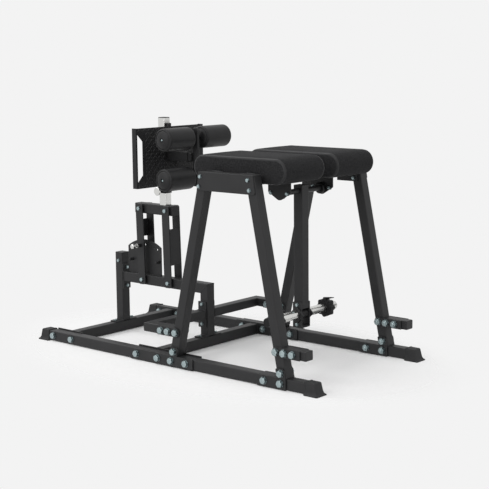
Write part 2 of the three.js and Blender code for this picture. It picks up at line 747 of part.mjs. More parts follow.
function buildLinkage() {
  const frame = new THREE.Group();
  frame.position.set(rearLinkX, 0, linkPivotZ);
  machine.add(frame);
  const rearGroup = new THREE.Group();
  rearGroup.rotation.y = -restLean;
  frame.add(rearGroup);
  const pinHole = rod(pinRodSize + boltClearance, plate + overrun, 'y').translate(0, -linkBarY, holeRadius);
  add('rear_link', cut(link(rearWebFrom, rearWebTo, -1), [pinHole]), paint, 0, 0, 0, rearGroup);
  const tip = linkBarFace + indexY - plate / 2;
  const pin = pullPin(tip, linkPinBody, linkPinNeck, linkPinKnob, linkPinKnobLength);
  add('link_pin', pin.rotateX(Math.PI / 2), chrome, 0, -linkBarFace - fit, holeRadius, rearGroup);
  const frontGroup = new THREE.Group();
  frontGroup.position.x = linkPitch;
  frontGroup.rotation.y = -restLean;
  frame.add(frontGroup);
  add('front_link', link(frontWebFrom, frontWebTo, 1), paint, 0, 0, 0, frontGroup);
  for (const [name, x] of [['rear', 0], ['front', linkPitch]]) {
    add(`${name}_link_lower_bolt`, pivotBoltThrough(), zinc, x, 0, 0, frame);
    add(`${name}_link_upper_bolt`, pivotBoltThrough(), zinc,
      x + carrierShift, 0, carrierZ - linkPivotZ, frame);
  }

  const length = carrierFrontX - carrierRearX;
  const middle = (carrierFrontX + carrierRearX) / 2;
  const holes = [0, linkPitch].map((x) => (
    rod(boltHole, tube + overrun, 'y').translate(rearLinkX + carrierShift + x - middle, 0, 0)));
  const ends = [-1, 1].map((end) => (
    block(wall, tube - wall, tube - wall, 'x').translate(end * (length - wall) / 2, 0, 0)));
  const bar = join([squareTube(length, tube, tube, 'x'), ...ends]);
  add('carrier_tube', cut(bar, holes), paint, middle, 0, carrierZ);
}

// A pull pin drawn along +Z from its seat: housing, rod and round knob, with the
// tip reaching below the seat. The tip stops just outside its hole, so that the
// piece that it locks is free to move.
function pullPin(reach, bodyLength, neck, knob, knobLength) {
  const outside = bodyLength + neck + knobLength / 2;
  return join([
    rod(pinBodySize, bodyLength, 'z').translate(0, 0, bodyLength / 2),
    rod(pinRodSize, outside + reach, 'z').translate(0, 0, (outside - reach) / 2),
    rod(knob, knobLength, 'z', 2 * roundSides).translate(0, 0, bodyLength + neck + knobLength / 2),
  ]);
}

// Chrome post on the carrier
function buildPost() {
  const bottom = carrierTop + fit;
  const height = postTopZ - bottom;
  const shaft = squareTube(height, postSize, postSize, 'z', wall, postRadius);
  const tools = [];
  for (let i = 0; i < postHoleCount; i += 1) {
    const z = heightPinZ + i * postHoleStep - bottom - height / 2;
    tools.push(rod(postHoleSize, 2 * wall + overrun, 'y', holeSides).translate(0, -postSize / 2, z));
  }
  add('height_post', cut(shaft, tools), chrome, postX, 0, bottom + height / 2);
}

// Sleeve that slides on the post, with the strap and the arm box
function buildCarriage() {
  const bushInner = postSize + 2 * slideClearance;
  const linerSize = bushInner + 2 * bushLiner;
  const sleeveSize = linerSize + 2 * fit + 2 * sleeveWall;
  const middleZ = (sleeveTopZ + sleeveBottomZ) / 2;
  const shell = squareTube(sleeveTopZ - sleeveBottomZ, sleeveSize, sleeveSize, 'z', sleeveWall);
  const strapFrom = postX + sleeveSize / 2 - sleeveWall / 2;
  const strapTo = footPlateX - footPlateThickness - fit;
  const strap = boxBetween(strapFrom - postX, strapTo - postX, -strapWidth / 2, strapWidth / 2,
    strapBottomZ - middleZ, strapTopZ - middleZ);
  const boxWall = (tube - armSize) / 2 - armClearance;
  const armBox = squareTube(armBoxEndX - strapFrom - wall, tube, tube, 'x', boxWall);
  const armBoxZ = armBoxTopZ - tube / 2;
  armBox.translate((armBoxEndX + strapFrom + wall) / 2 - postX, 0, armBoxZ - middleZ);
  const hole = rod(pinRodSize + boltClearance, tube / 2, 'z');
  hole.translate(armPinX - postX, 0, armBoxZ - tube / 2 - middleZ);
  add('height_sleeve', cut(join([shell, strap, armBox]), [hole]), paint, postX, 0, middleZ);

  const linerLength = bushDrop + tube / 2;
  const liner = squareTube(linerLength, linerSize, linerSize, 'z', bushLiner, postRadius);
  const collarSide = bushInner + 2 * bushCollar;
  const collar = squareTube(bushDrop - fit, collarSide, collarSide, 'z', bushCollar, postRadius);
  const bush = join([liner.translate(0, 0, linerLength / 2), collar.translate(0, 0, (bushDrop - fit) / 2)]);
  const bushBottom = sleeveBottomZ - bushDrop;
  const pinHole = rod(pinRodSize + boltClearance, tube / 2, 'y');
  pinHole.translate(0, -postSize / 2, heightPinZ - bushBottom);
  add('sleeve_bush', cut(bush, [pinHole]), plastic, postX, 0, bushBottom);
  const heightPin = pullPin(bushCollar + slideClearance, heightPinBody, heightPinNeck,
    heightPinKnob, heightPinKnobLength);
  add('height_pin', heightPin.rotateX(Math.PI / 2), chrome, postX, -collarSide / 2 - fit, heightPinZ);
  const armPin = pullPin(boxWall + armClearance, armPinBody, armPinNeck, armPinKnob, armPinKnobLength);
  add('arm_pin', armPin.rotateX(Math.PI), chrome, armPinX, 0, armBoxTopZ - tube - fit);
}

// Tread plate with turned-back side flanges, a hand-hold window at each side
// and a hole for the arm box.
function buildFootPlate() {
  const middleZ = (footPlateTopZ + footPlateBottomZ) / 2;
  const height = footPlateTopZ - footPlateBottomZ;
  const parts = [box(footPlateThickness, footPlateWidth, height).translate(-footPlateThickness / 2, 0, 0)];
  const armHole = block(footPlateThickness + overrun, tube + 2 * fit, tube + 2 * fit, 'x');
  const tools = [armHole.translate(0, 0, armBoxTopZ - tube / 2 - middleZ)];
  for (const side of [-1, 1]) {
    const flange = box(footFlange, footPlateThickness, height);
    parts.push(flange.translate(-footFlange / 2, side * (footPlateWidth - footPlateThickness) / 2, 0));
    const outer = side * (footPlateWidth / 2 - windowInset);
    const inner = outer - side * windowWidth;
    const outline = [point(outer, -windowOuter / 2), point(inner, -windowInner / 2),
      point(inner, windowInner / 2), point(outer, windowOuter / 2)];
    tools.push(prism(new THREE.Shape(outline), footPlateThickness + overrun, 'x'));
  }
  add('foot_plate', cut(join(parts), tools), paint, footPlateX, 0, middleZ);
}

// Roller arm with its bar and axles, and the four rollers
function buildRollers() {
  const armZ = armBoxTopZ - tube / 2;
  const from = armBoxEndX - armInside;
  const to = barX - barWidth / 2 + wall;
  const shell = squareTube(to - from, armSize, armSize, 'x').translate((from + to) / 2 - barX, 0, 0);
  const end = block(wall, armSize - wall, armSize - wall, 'x').translate(to - wall / 2 - barX, 0, 0);
  const arm = join([shell, end]);
  const holes = [0, -armHoleStep].map((step) => (
    rod(pinRodSize + boltClearance, armSize / 2, 'z').translate(armPinX + step - barX, 0, -armSize / 2)));
  const bar = block(barTopZ - barBottomZ, barWidth, barDepth, 'z', wall);
  bar.translate(0, 0, (barTopZ + barBottomZ) / 2 - armZ);
  const axles = [upperRollerZ, lowerRollerZ].flatMap((z) => {
    const half = rollerOuter + fit;
    const axle = rod(axleSize, 2 * half + axleHeadLength, 'y');
    const heads = [-1, 1].map((side) => (
      rod(axleHead, axleHeadLength, 'y').translate(0, side * (half + axleHeadLength / 2), 0)));
    return [axle, ...heads].map((part) => part.translate(rollerX - barX, 0, z - armZ));
  });
  add('roller_arm', join([cut(arm, holes), bar, ...axles]), paint, barX, 0, armZ);
  for (const { name, sign } of sides) {
    for (const [level, z] of [['upper', upperRollerZ], ['lower', lowerRollerZ]]) {
      add(`${name}_${level}_roller`, roller(), foam, rollerX, sign * (rollerInner + rollerOuter) / 2, z);
    }
  }
}

// A foam roller with swollen ends and rounded edges, turned about Y.
function roller() {
  const half = (rollerOuter - rollerInner) / 2;
  const bore = rollerBore / 2 / Math.cos(Math.PI / rollerSides);
  const shoulder = rollerDome + rollerEdge;
  const slope = rollerDome / rollerDomeRadius ** 2;
  const profile = [];
  for (let i = 0; i < rollerDomeSteps; i += 1) {
    const radius = bore + (rollerDomeRadius - bore) * (i / rollerDomeSteps);
    profile.push(point(radius, slope * radius ** 2 - half));
  }
  for (let i = 0; i <= rollerEdgeSteps; i += 1) {
    const angle = (i / rollerEdgeSteps) * (Math.PI / 2);
    const radius = rollerRadius - rollerEdge * (1 - Math.sin(angle));
    profile.push(point(radius, shoulder - half - rollerEdge * Math.cos(angle)));
  }
  const upper = profile.map((p) => point(p.x, -p.y)).reverse();
  return new THREE.LatheGeometry([...profile, ...upper, profile[0].clone()], rollerSides);
}

// Tubes that carry the pads, with end plates on the A-frames
function buildCrossbars() {
  const end = railY - tube / 2 - fit;
  for (const [name, x] of [['rear_pad_crossbar', rearCrossbarX], ['front_pad_crossbar', frontCrossbarX]]) {
    const bar = squareTube(2 * end - plate, tube, tube, 'y');
    const plates = [-1, 1].map((side) => (
      box(crossbarPlateWidth, plate, tube).translate(0, side * (end - plate / 2), 0)));
    const drain = rod(drainHole, tube, 'z').translate(0, 0, -tube / 2);
    add(name, cut(join([bar, ...plates]), [drain]), paint, x, 0, crossbarBottomZ + tube / 2);
  }
}

// A point at a distance round a stadium in X and Z, with its outward normal.
function stadiumPoint(distance, straight, radius) {
  const arc = Math.PI * radius;
  const half = straight / 2;
  if (distance < straight) return [half - distance, radius, 0, 1];
  let rest = distance - straight;
  if (rest < arc) {
    const angle = Math.PI / 2 + rest / radius;
    return [-half + radius * Math.cos(angle), radius * Math.sin(angle), Math.cos(angle), Math.sin(angle)];
  }
  rest -= arc;
  if (rest < straight) return [-half + rest, -radius, 0, -1];
  const angle = -Math.PI / 2 + (rest - straight) / radius;
  return [half + radius * Math.cos(angle), radius * Math.sin(angle), Math.cos(angle), Math.sin(angle)];
}

// One pad: a stadium section with a crowned top and swelling end faces, drawn in
// at the two piped edges. It is a grid of stations across and points round.
function pad() {
  const width = padOuter - padInner;
  const radius = padHeight / 2;
  const straight = padLength - padHeight;
  const perimeter = 2 * straight + 2 * Math.PI * radius;
  const perPoint = 3;
  const positions = [];
  const index = [];
  for (let k = 0; k <= padAcross; k += 1) {
    const y = -width / 2 * Math.cos((k / padAcross) * Math.PI);
    const toEdge = width / 2 - Math.abs(y);
    const inset = padEdge * Math.max(0, 1 - toEdge / padEdge) ** 2;
    const crown = padTopCrown * (1 - (2 * y / width) ** 2);
    for (let i = 0; i < padRound; i += 1) {
      const [x, z, nx, nz] = stadiumPoint((i / padRound) * perimeter, straight, radius);
      const lift = nz > 0 ? crown * nz : 0;
      positions.push(x - nx * inset, y, z - nz * inset + lift);
    }
  }
  const next = (i) => (i + 1) % padRound;
  for (let k = 0; k < padAcross; k += 1) {
    const row = k * padRound;
    for (let i = 0; i < padRound; i += 1) {
      const [a, b] = [row + i, row + next(i)];
      index.push(a, a + padRound, b + padRound, a, b + padRound, b);
    }
  }
  for (const [row, side] of [[0, -1], [padAcross * padRound, 1]]) {
    const inner = positions.length / perPoint;
    for (let i = 0; i < padRound; i += 1) {
      const at = (row + i) * perPoint;
      const y = side * (width / 2 + padCrown * innerSwellShare);
      positions.push(positions[at] * innerRingShare, y, positions[at + 2] * innerRingShare);
    }
    const centre = positions.length / perPoint;
    positions.push(0, side * (width / 2 + padCrown), 0);
    for (let i = 0; i < padRound; i += 1) {
      const j = next(i);
      const [a, b, c, d] = [row + i, row + j, inner + j, inner + i];
      const faces = [[a, b, c], [a, c, d], [d, c, centre]];
      faces.forEach(([p, q, r]) => index.push(...(side < 0 ? [p, q, r] : [p, r, q])));
    }
  }
  const geometry = new THREE.BufferGeometry();
  geometry.setAttribute('position', new THREE.Float32BufferAttribute(positions, 3));
  geometry.setIndex(index);
  return geometry;
}

function buildPads() {
  const middleX = padRearX + padLength / 2;
  const middleZ = padBottomZ + padHeight / 2;
  const notch = tube + 2 * notchClearance;
  const notches = [rearCrossbarX, frontCrossbarX].map((x) => (
    box(notch, 2 * padOuter, notch).translate(x - middleX, 0, crossbarBottomZ + tube / 2 - middleZ)));
  for (const { name, sign } of sides) {
    add(`${name}_pad`, cut(pad(), notches), vinyl, middleX, sign * (padInner + padOuter) / 2, middleZ);
  }
}

// Bearing plates that hang under the front crossbar
function buildBearings() {
  const top = crossbarBottomZ - fit - pivotZ;
  const half = bearingPlateWidth / 2;
  const shoulder = bearingShoulderZ - pivotZ;
  const tip = bearingTipZ - pivotZ;
  for (const { name, sign } of sides) {
    const outline = plateXZ([point(-half, shoulder), point(-bearingTipHalf, tip), point(bearingTipHalf, tip),
      point(half, shoulder), point(half, top), point(-half, top)], plate);
    const boss = rod(bearingHousing, plate + bearingBoss, 'y', 2 * roundSides);
    boss.translate(0, -sign * bearingBoss / 2, 0);
    const bore = rod(shaftSize + 2 * bearingClearance, plate + bearingBoss + overrun, 'y', 2 * roundSides);
    bore.translate(0, -sign * bearingBoss / 2, 0);
    add(`${name}_bearing_plate`, cut(join([outline, boss]), [bore]), paint, pivotX, sign * bearingY, pivotZ);
  }
}

// Pendulum: arm with its shaft, fork, weight sleeve and lock collars
function buildPendulum() {
  const arm = squareTube(armTopZ - armBottomZ, tube, tube, 'z');
  arm.translate(0, 0, (armTopZ + armBottomZ) / 2 - pivotZ);
  const shaft = rod(shaftSize, 2 * shaftHalf, 'y', 2 * roundSides);
  add('pendulum_arm', join([arm, shaft]), paint, pivotX, 0, pivotZ);

  const parts = [];
  const y = tube / 2 + fit + plate / 2;
  for (const face of [-1, 1]) {
    const cheek = box(tube, plate, forkTopZ - forkBottomZ);
    cheek.translate(0, face * y, (forkTopZ + forkBottomZ) / 2 - weightZ);
    const diamond = rod(diamondSize, 1.5 * plate, 'y', 4).translate(0, face * (y + 0.75 * plate), 0);
    parts.push(cheek, diamond);
  }
  parts.push(box(tube, 2 * y, plate).translate(0, 0, forkBottomZ + plate / 2 - weightZ));
  const bore = rod(weightDiameter + 2 * fit, 4 * tube, 'y', 2 * roundSides);
  add('pendulum_fork', cut(join(parts), [bore]), paint, pivotX, 0, weightZ);

  const ring = new THREE.Shape().absarc(0, 0, weightDiameter / 2, 0, 2 * Math.PI);
  ring.holes.push(new THREE.Path().absarc(0, 0, weightDiameter / 2 - weightWall, 0, 2 * Math.PI));
  add('weight_sleeve', prism(ring, 2 * weightHalf, 'y', collarSides), chrome, pivotX, 0, weightZ);
  for (const { name, sign } of sides) {
    add(`${name}_lock_collar`, lockCollar(), plastic, pivotX, sign * collarY, weightZ);
  }
}

// An eight-sided locking collar with a lever, round the weight sleeve.
function lockCollar() {
  const corner = collarSize / Math.cos(Math.PI / collarSides);
  const body = rod(corner, collarWidth, 'y', collarSides).rotateY(Math.PI / collarSides);
  const lever = box(collarLever + collarSize / 4, collarWidth / 2, collarWidth / 2);
  lever.translate((collarSize + collarLever) / 2 - collarSize / 8, 0, collarSize / 4);
  const bore = rod(weightDiameter + 2 * collarClearance, collarWidth + overrun, 'y', 2 * roundSides);
  return cut(join([body, lever]), [bore]);
}

buildRails();
buildCrossTubes();
buildJointPlates();
buildFrames();
buildStubs();
buildBraces();
buildBridge();
buildIndexPlate();
buildLinkage();
buildPost();
buildCarriage();
buildFootPlate();
buildRollers();
buildCrossbars();
buildPads();
buildBearings();
buildPendulum();

export default machine;
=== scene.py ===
# %% [markdown]
# A gym machine made of square steel tube: two leaning side frames carry two
# thick pads, a pendulum with a weight sleeve hangs under them, and a foot
# plate with foam rollers stands on a swinging linkage at the other end.
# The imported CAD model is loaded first. It fixes every size, and each piece
# made here is drawn to its numbers.

# %% Load the frame
import bpy
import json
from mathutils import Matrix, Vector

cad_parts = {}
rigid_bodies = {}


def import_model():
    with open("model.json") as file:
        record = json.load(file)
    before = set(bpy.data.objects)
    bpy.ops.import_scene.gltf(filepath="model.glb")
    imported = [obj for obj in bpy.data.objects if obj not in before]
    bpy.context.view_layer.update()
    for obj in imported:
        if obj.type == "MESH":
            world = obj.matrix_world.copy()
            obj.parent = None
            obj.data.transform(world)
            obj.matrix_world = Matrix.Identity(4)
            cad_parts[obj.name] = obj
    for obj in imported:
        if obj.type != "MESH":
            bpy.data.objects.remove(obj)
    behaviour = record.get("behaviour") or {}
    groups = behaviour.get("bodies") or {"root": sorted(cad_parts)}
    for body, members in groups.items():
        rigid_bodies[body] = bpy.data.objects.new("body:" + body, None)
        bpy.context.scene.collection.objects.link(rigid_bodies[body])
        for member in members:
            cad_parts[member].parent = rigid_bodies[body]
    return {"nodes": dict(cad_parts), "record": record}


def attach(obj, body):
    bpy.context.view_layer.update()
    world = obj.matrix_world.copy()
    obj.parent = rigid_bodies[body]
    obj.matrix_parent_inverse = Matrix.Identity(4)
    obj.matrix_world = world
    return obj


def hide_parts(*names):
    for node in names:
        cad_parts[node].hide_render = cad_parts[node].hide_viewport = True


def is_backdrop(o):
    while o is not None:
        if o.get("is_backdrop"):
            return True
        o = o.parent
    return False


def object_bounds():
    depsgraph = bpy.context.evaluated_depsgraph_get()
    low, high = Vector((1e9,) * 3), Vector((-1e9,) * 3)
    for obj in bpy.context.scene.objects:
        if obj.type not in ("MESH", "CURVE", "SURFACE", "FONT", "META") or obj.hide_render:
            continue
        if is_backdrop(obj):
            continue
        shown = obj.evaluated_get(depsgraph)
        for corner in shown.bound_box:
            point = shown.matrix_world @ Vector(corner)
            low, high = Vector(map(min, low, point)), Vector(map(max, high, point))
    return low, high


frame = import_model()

for leftover in [o for o in bpy.data.objects if o.name in ("Cube", "Light", "Camera")]:
    bpy.data.objects.remove(leftover)
cad_low, cad_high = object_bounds()

import json
import numpy as np
from mathutils import Matrix, Vector
from mathutils.geometry import tessellate_polygon


def in_scene(name, data):
    """An object of a mesh, a lamp or a camera, linked to the scene."""
    made = bpy.data.objects.new(name, data)
    bpy.context.scene.collection.objects.link(made)
    return made


print("CAD box", [round(c, 4) for c in (*cad_low, *cad_high)])

# %% [markdown]
# The photograph was taken with a long lens from the pad end, a little above
# the pads. The camera is placed by its eye point and three angles. Blender's
# camera looks straight down at first, so it is rolled about its own axis,
# tipped up to the pitch and turned to the yaw. A small shift puts the middle
# of the lens where the picture has it.

# %% Camera
EYE = (4.6876, -5.2508, 1.7038)
YAW, PITCH, ROLL = np.radians((39.992, 8.477, -0.456))
FOCAL_PIXELS, LENS_MIDDLE, PICTURE = 1250.05, (260.756, 236.277), 489
SENSOR = 36
lens = bpy.data.cameras.new("photo_camera")
lens.sensor_width = SENSOR
lens.lens = FOCAL_PIXELS / PICTURE * SENSOR
lens.shift_x = (PICTURE / 2 - LENS_MIDDLE[0]) / PICTURE
lens.shift_y = (LENS_MIDDLE[1] - PICTURE / 2) / PICTURE
camera = in_scene("photo_camera", lens)
tipped = Matrix.Rotation(np.pi / 2 - PITCH, 4, "X") @ Matrix.Rotation(ROLL, 4, "Z")
camera.matrix_world = Matrix.Translation(EYE) @ Matrix.Rotation(YAW, 4, "Z") @ tipped
bpy.context.scene.camera = camera
bpy.context.scene.view_settings.view_transform = "Standard"
print("lens", round(lens.lens, 2), "mm")

# %% [markdown]
# Colours are written as the hex values that a paint chart gives. Blender
# mixes light in linear numbers, so one function converts them. Another small
# function adds a shader node. Pattern sizes are given in millimetres, and a
# noise texture's scale is how many cells fit in one metre.

# %% Colour and node helpers
MM = 0.001


def linear(code):
    """The linear colour of an sRGB hex value."""
    levels = np.array([int(code[i:i + 2], 16) for i in (0, 2, 4)]) / 255
    low = levels / 12.92
    high = ((levels + 0.055) / 1.055) ** 2.4
    return (*np.where(levels <= 0.04045, low, high).tolist(), 1.0)


def cells(millimetres):
    """Texture scale for a pattern whose cells are this far apart."""
    return 1 / (millimetres * MM)


def add_node(tree, kind, settings=None, **inputs):
    """Adds a node with its settings, and fills its inputs with values or links. An input's name has _ for
    a space, and an input without a name of its own is _ and its number."""
    made = tree.nodes.new(kind)
    for name, value in (settings or {}).items():
        setattr(made, name, value)
    for name, value in inputs.items():
        found = made.inputs[int(name[1:])] if name[1:].isdigit() else made.inputs[name.replace("_", " ")]
        if isinstance(value, bpy.types.NodeSocket):
            tree.links.new(value, found)
        else:
            found.default_value = value
    return made


def new_finish(name):
    """A material with an empty node tree, and the tree's Object coordinates."""
    finish = bpy.data.materials.new(name)
    finish.use_nodes = True
    tree = finish.node_tree
    tree.nodes.clear()
    return finish, tree, add_node(tree, "ShaderNodeTexCoord").outputs["Object"]


# %% [markdown]
# No real surface is quite even. In every finish one pattern runs the colour
# between two values, and one runs the roughness, so that broad highlights
# break up a little. Most finishes take both from a slow cloud of noise, and
# some have a finer noise as relief.

# %% Finishes from patterns
def surface(tree, tone, colours, gloss, roughness, **settings):
    """Ends a finish. The tone pattern runs the colour between two hex values, from one of its stops to the
    other, and the gloss pattern runs the roughness between two numbers."""
    ramp = add_node(tree, "ShaderNodeValToRGB", Fac=tone)
    for stop, position, code in zip(ramp.color_ramp.elements, settings.pop("stops", (0.3, 0.7)), colours):
        stop.position, stop.color = position, linear(code)
    matt = add_node(tree, "ShaderNodeMapRange", Value=gloss, To_Min=roughness[0], To_Max=roughness[1])
    shader = add_node(tree, "ShaderNodeBsdfPrincipled", Base_Color=ramp.outputs["Color"],
                      Roughness=matt.outputs["Result"], **settings)
    add_node(tree, "ShaderNodeOutputMaterial", Surface=shader.outputs[0])


def clouded(name, cloud, detail, colours, roughness, relief=None, **settings):
    """A finish over a cloud of noise with cells of a size in millimetres. Relief is a finer noise: the
    size of its cells, its detail, its strength and its depth in millimetres."""
    finish, tree, place = new_finish(name)
    drift = add_node(tree, "ShaderNodeTexNoise", Vector=place, Scale=cells(cloud), Detail=detail)
    if relief:
        size, fine, strength, depth = relief
        grain = add_node(tree, "ShaderNodeTexNoise", Vector=place, Scale=cells(size), Detail=fine)
        bump = add_node(tree, "ShaderNodeBump", Height=grain.outputs["Fac"], Strength=strength,
                        Distance=depth * MM)
        settings["Normal"] = bump.outputs["Normal"]
    surface(tree, drift.outputs["Fac"], colours, drift.outputs["Fac"], roughness, **settings)
    return finish


# %% [markdown]
# Black polyester powder coat on steel. The powder melts into a satin film
# with a fine orange-peel surface about 2 mm from dimple to dimple, drawn at
# 3 mm so that it shows. Where the film is thinner it is a trace lighter. The
# foot plate is steel tread plate under a thicker, duller coat. Its raised
# bars are drawn lighter and glossier: partly coat rubbed by feet, partly a
# painted highlight of the light the bars catch.

# %% Powder coat
powder_coat = clouded("black_powder_coat_on_steel", 90, 4.0, ("212122", "262627"), (0.42, 0.54),
                      (3, 2.0, 0.25, 0.15), Specular_IOR_Level=0.3)
tread_coat = clouded("dull_black_coat_on_tread_plate", 60, 4.0, ("1b1b1c", "202021"), (0.45, 0.58),
                     (2, 2.0, 0.3, 0.15), Specular_IOR_Level=0.25)
# Painted highlight: the tread bars' coat is lighter than the plate's, partly for wear and partly for the
# light the raised bars catch.
worn_and_highlit_coat = clouded("rubbed_coat_with_painted_highlight_on_tread_bars", 30, 3.0, ("2a2a2b", "313132"), (0.36, 0.48),
                      Specular_IOR_Level=0.3)

# %% [markdown]
# Bolts and nuts are electroplated with bright zinc and a blue passivation: a
# pale metal with a cold cast, cloudy over a few millimetres. The washers are
# zinc drawn dark, in blotches of near black and grey: painted shade round
# the heads.

# %% Zinc plate
zinc_plate = clouded("blue_passivated_zinc_on_steel", 6, 3.0, ("8d9c9e", "adbabc"), (0.24, 0.42),
                     Metallic=1.0)
# Painted shade: the washers' zinc is drawn dark in blotches, for the shade round the bolt heads.
shade_darkened_zinc = clouded("zinc_darkened_with_painted_shade", 8, 3.0, ("282d2e", "7a8385"), (0.35, 0.5),
                     stops=(0.42, 0.58), Metallic=1.0)

# %% [markdown]
# The square post and the round weight sleeve are chromed. The tube was
# ground lengthwise before plating, so its gloss has faint lines about a
# millimetre apart that run along it.

# %% Chrome plate
chrome_plate, tree, place = new_finish("chrome_on_ground_steel_tube")
along = add_node(tree, "ShaderNodeMapping", Vector=place, Scale=(1.0, 1.0, 0.02))
lines = add_node(tree, "ShaderNodeTexNoise", Vector=along.outputs["Vector"], Scale=cells(1), Detail=2.0)
surface(tree, lines.outputs["Fac"], ("cfcfcc", "dcdcda"), lines.outputs["Fac"], (0.14, 0.26), Metallic=1.0)

# %% [markdown]
# Boots and stops are moulded black rubber. It scatters light, hardly shines,
# and carries a spark-eroded mould grain of about 1.5 mm. Caps, the bush, the
# pin housings and the lock collars are glass-filled nylon: near black, smooth
# from the mould, with a soft gloss.

# %% Rubber and nylon
moulded_rubber = clouded("moulded_black_rubber", 40, 3.0, ("252526", "2c2c2d"), (0.62, 0.78),
                         (1.5, 3.0, 0.4, 0.2), Specular_IOR_Level=0.3)
moulded_nylon = clouded("moulded_black_nylon", 12, 3.0, ("101011", "161617"), (0.34, 0.46),
                        Specular_IOR_Level=0.22)

# %% [markdown]
# The pads are covered in PVC upholstery vinyl, embossed with a leather grain
# of small rounded pebbles. The real pebbles are about 1.2 mm wide and are
# drawn at 2.5 mm so that they show. A noise of 7 mm gives the mottled sheen
# of a grained cover. Round the rims the same vinyl is pulled tight over the
# edge of the foam, so its grain is flatter there and it catches more light.

# %% Upholstery vinyl
pad_vinyl, tree, place = new_finish("embossed_black_upholstery_vinyl")
pebbles = add_node(tree, "ShaderNodeTexVoronoi", Vector=place, Scale=cells(2.5))
cloud = add_node(tree, "ShaderNodeTexNoise", Vector=place, Scale=cells(7), Detail=3.0)
leather = add_node(
    tree, "ShaderNodeBump", {"invert": True}, Height=pebbles.outputs["Distance"],
    Strength=0.35, Distance=0.3 * MM)
surface(tree, cloud.outputs["Fac"], ("232324", "343435"), pebbles.outputs["Distance"], (0.68, 0.82),
        Normal=leather.outputs["Normal"], Specular_IOR_Level=0.06)
rim_vinyl = clouded("stretched_black_rim_vinyl", 5, 3.0, ("262627", "2d2d2e"), (0.4, 0.5),
                    Specular_IOR_Level=0.22)

# %% [markdown]
# The rollers are moulded polyurethane foam with a closed skin. The skin is
# dull and has shallow dimples a few millimetres apart.

# %% Skinned foam
skinned_foam = clouded("skinned_black_foam", 50, 3.0, ("1d1d1e", "232324"), (0.36, 0.48),
                       (4, 3.0, 0.25, 0.3), Specular_IOR_Level=0.22)

# %% [markdown]
# The CAD nodes carry the record's slots. Each slot gets its finish here, so
# that a node which isn't replaced below already looks right.

# %% Finishes for the CAD nodes
SLOT_FINISH = {
    "frame_paint": powder_coat, "tread_plate": tread_coat, "zinc_plate": zinc_plate,
    "chrome_plate": chrome_plate, "boot_rubber": moulded_rubber, "black_plastic": moulded_nylon,
    "pad_vinyl": pad_vinyl, "roller_foam": skinned_foam,
}
node_slot = {part["node"]: part["material_slot"] for part in frame["record"]["subparts"]}
for node, shown in frame["nodes"].items():
    shown.data.materials.clear()
    shown.data.materials.append(SLOT_FINISH[node_slot[node]])
print(len(node_slot), "nodes finished in", len(SLOT_FINISH), "slots")

# %% [markdown]
# Studio floor and light. The floor is a pale matt sheet that fades out into
# the background, so no horizon shows, and it keeps the machine's soft
# shadow. The background is a plain pale grey for the camera and for
# reflections, while a weaker sky and four wide suns light the machine.

# %% Floor and light
BACKGROUND, PAPER, SKY = "f3f3f3", "fafafa", "ffffff"
SKY_STRENGTH = 0.5
FLOOR_HALF = 3.0
FADE_X, FADE_Y, FADE_FROM = 1.6, 1.05, 0.5
floor_mesh = bpy.data.meshes.new("studio_floor")
corners = np.array([(-1, -1, 0), (1, -1, 0), (1, 1, 0), (-1, 1, 0)]) * FLOOR_HALF
floor_mesh.from_pydata(corners.tolist(), [], [(0, 1, 2, 3)])
floor = in_scene("studio_floor", floor_mesh)
paper, tree, place = new_finish("pale_paper_sweep")
oval = add_node(tree, "ShaderNodeMapping", Vector=place, Scale=(1 / FADE_X, 1 / FADE_Y, 1.0))
reach = add_node(tree, "ShaderNodeVectorMath", {"operation": "LENGTH"}, _0=oval.outputs["Vector"])
fade = add_node(
    tree, "ShaderNodeMapRange", {"interpolation_type": "SMOOTHSTEP"}, Value=reach.outputs["Value"],
    From_Min=FADE_FROM, From_Max=1.0)
sheet = add_node(tree, "ShaderNodeBsdfDiffuse", Color=linear(PAPER))
clear = add_node(tree, "ShaderNodeBsdfTransparent")
faded = add_node(
    tree, "ShaderNodeMixShader", _0=fade.outputs["Result"], _1=sheet.outputs[0], _2=clear.outputs[0])
add_node(tree, "ShaderNodeOutputMaterial", Surface=faded.outputs[0])
floor_mesh.materials.append(paper)
floor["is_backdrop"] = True

world = bpy.data.worlds.new("studio")
world.use_nodes = True
bpy.context.scene.world = world
tree = world.node_tree
tree.nodes.clear()
path = add_node(tree, "ShaderNodeLightPath")
seen = path.outputs["Is Camera Ray"]
for ray in ("Is Glossy Ray", "Is Transmission Ray"):
    either = add_node(tree, "ShaderNodeMath", {"operation": "MAXIMUM"}, _0=seen, _1=path.outputs[ray])
    seen = either.outputs[0]
sky = add_node(tree, "ShaderNodeBackground", Color=linear(SKY), Strength=SKY_STRENGTH)
backdrop = add_node(tree, "ShaderNodeBackground", Color=linear(BACKGROUND), Strength=1.0)
mixed = add_node(tree, "ShaderNodeMixShader", _0=seen, _1=sky.outputs[0], _2=backdrop.outputs[0])
add_node(tree, "ShaderNodeOutputWorld", Surface=mixed.outputs[0])

SUNS = {
    "overhead_sun": ((0.15, -0.35, 1.0), 0.8, 60),
    "side_sun": ((-0.25, -1.0, 0.45), 0.9, 50),
    "rear_sun": ((-0.65, -0.14, 0.72), 0.75, 24),
    "front_sun": ((1.0, -0.35, 0.12), 0.4, 40),
}
for name, (source, strength, spread) in SUNS.items():
    lamp = bpy.data.lights.new(name, "SUN")
    lamp.energy = strength
    lamp.angle = np.radians(spread)
    sun = in_scene(name, lamp)
    sun.rotation_euler = Vector(source).to_track_quat("Z", "Y").to_euler()
print("lit by", sorted(SUNS), "and the sky")

# %% [markdown]
# Every rigid piece below is a set of closed shells, worked out as whole
# arrays of points. Lengths are millimetres above the underside of the rails,
# and the rails stand 3 mm off the floor in their rubber boots. A shape is
# drawn flat first, from arcs and corners, and a run along an axis makes it
# solid.

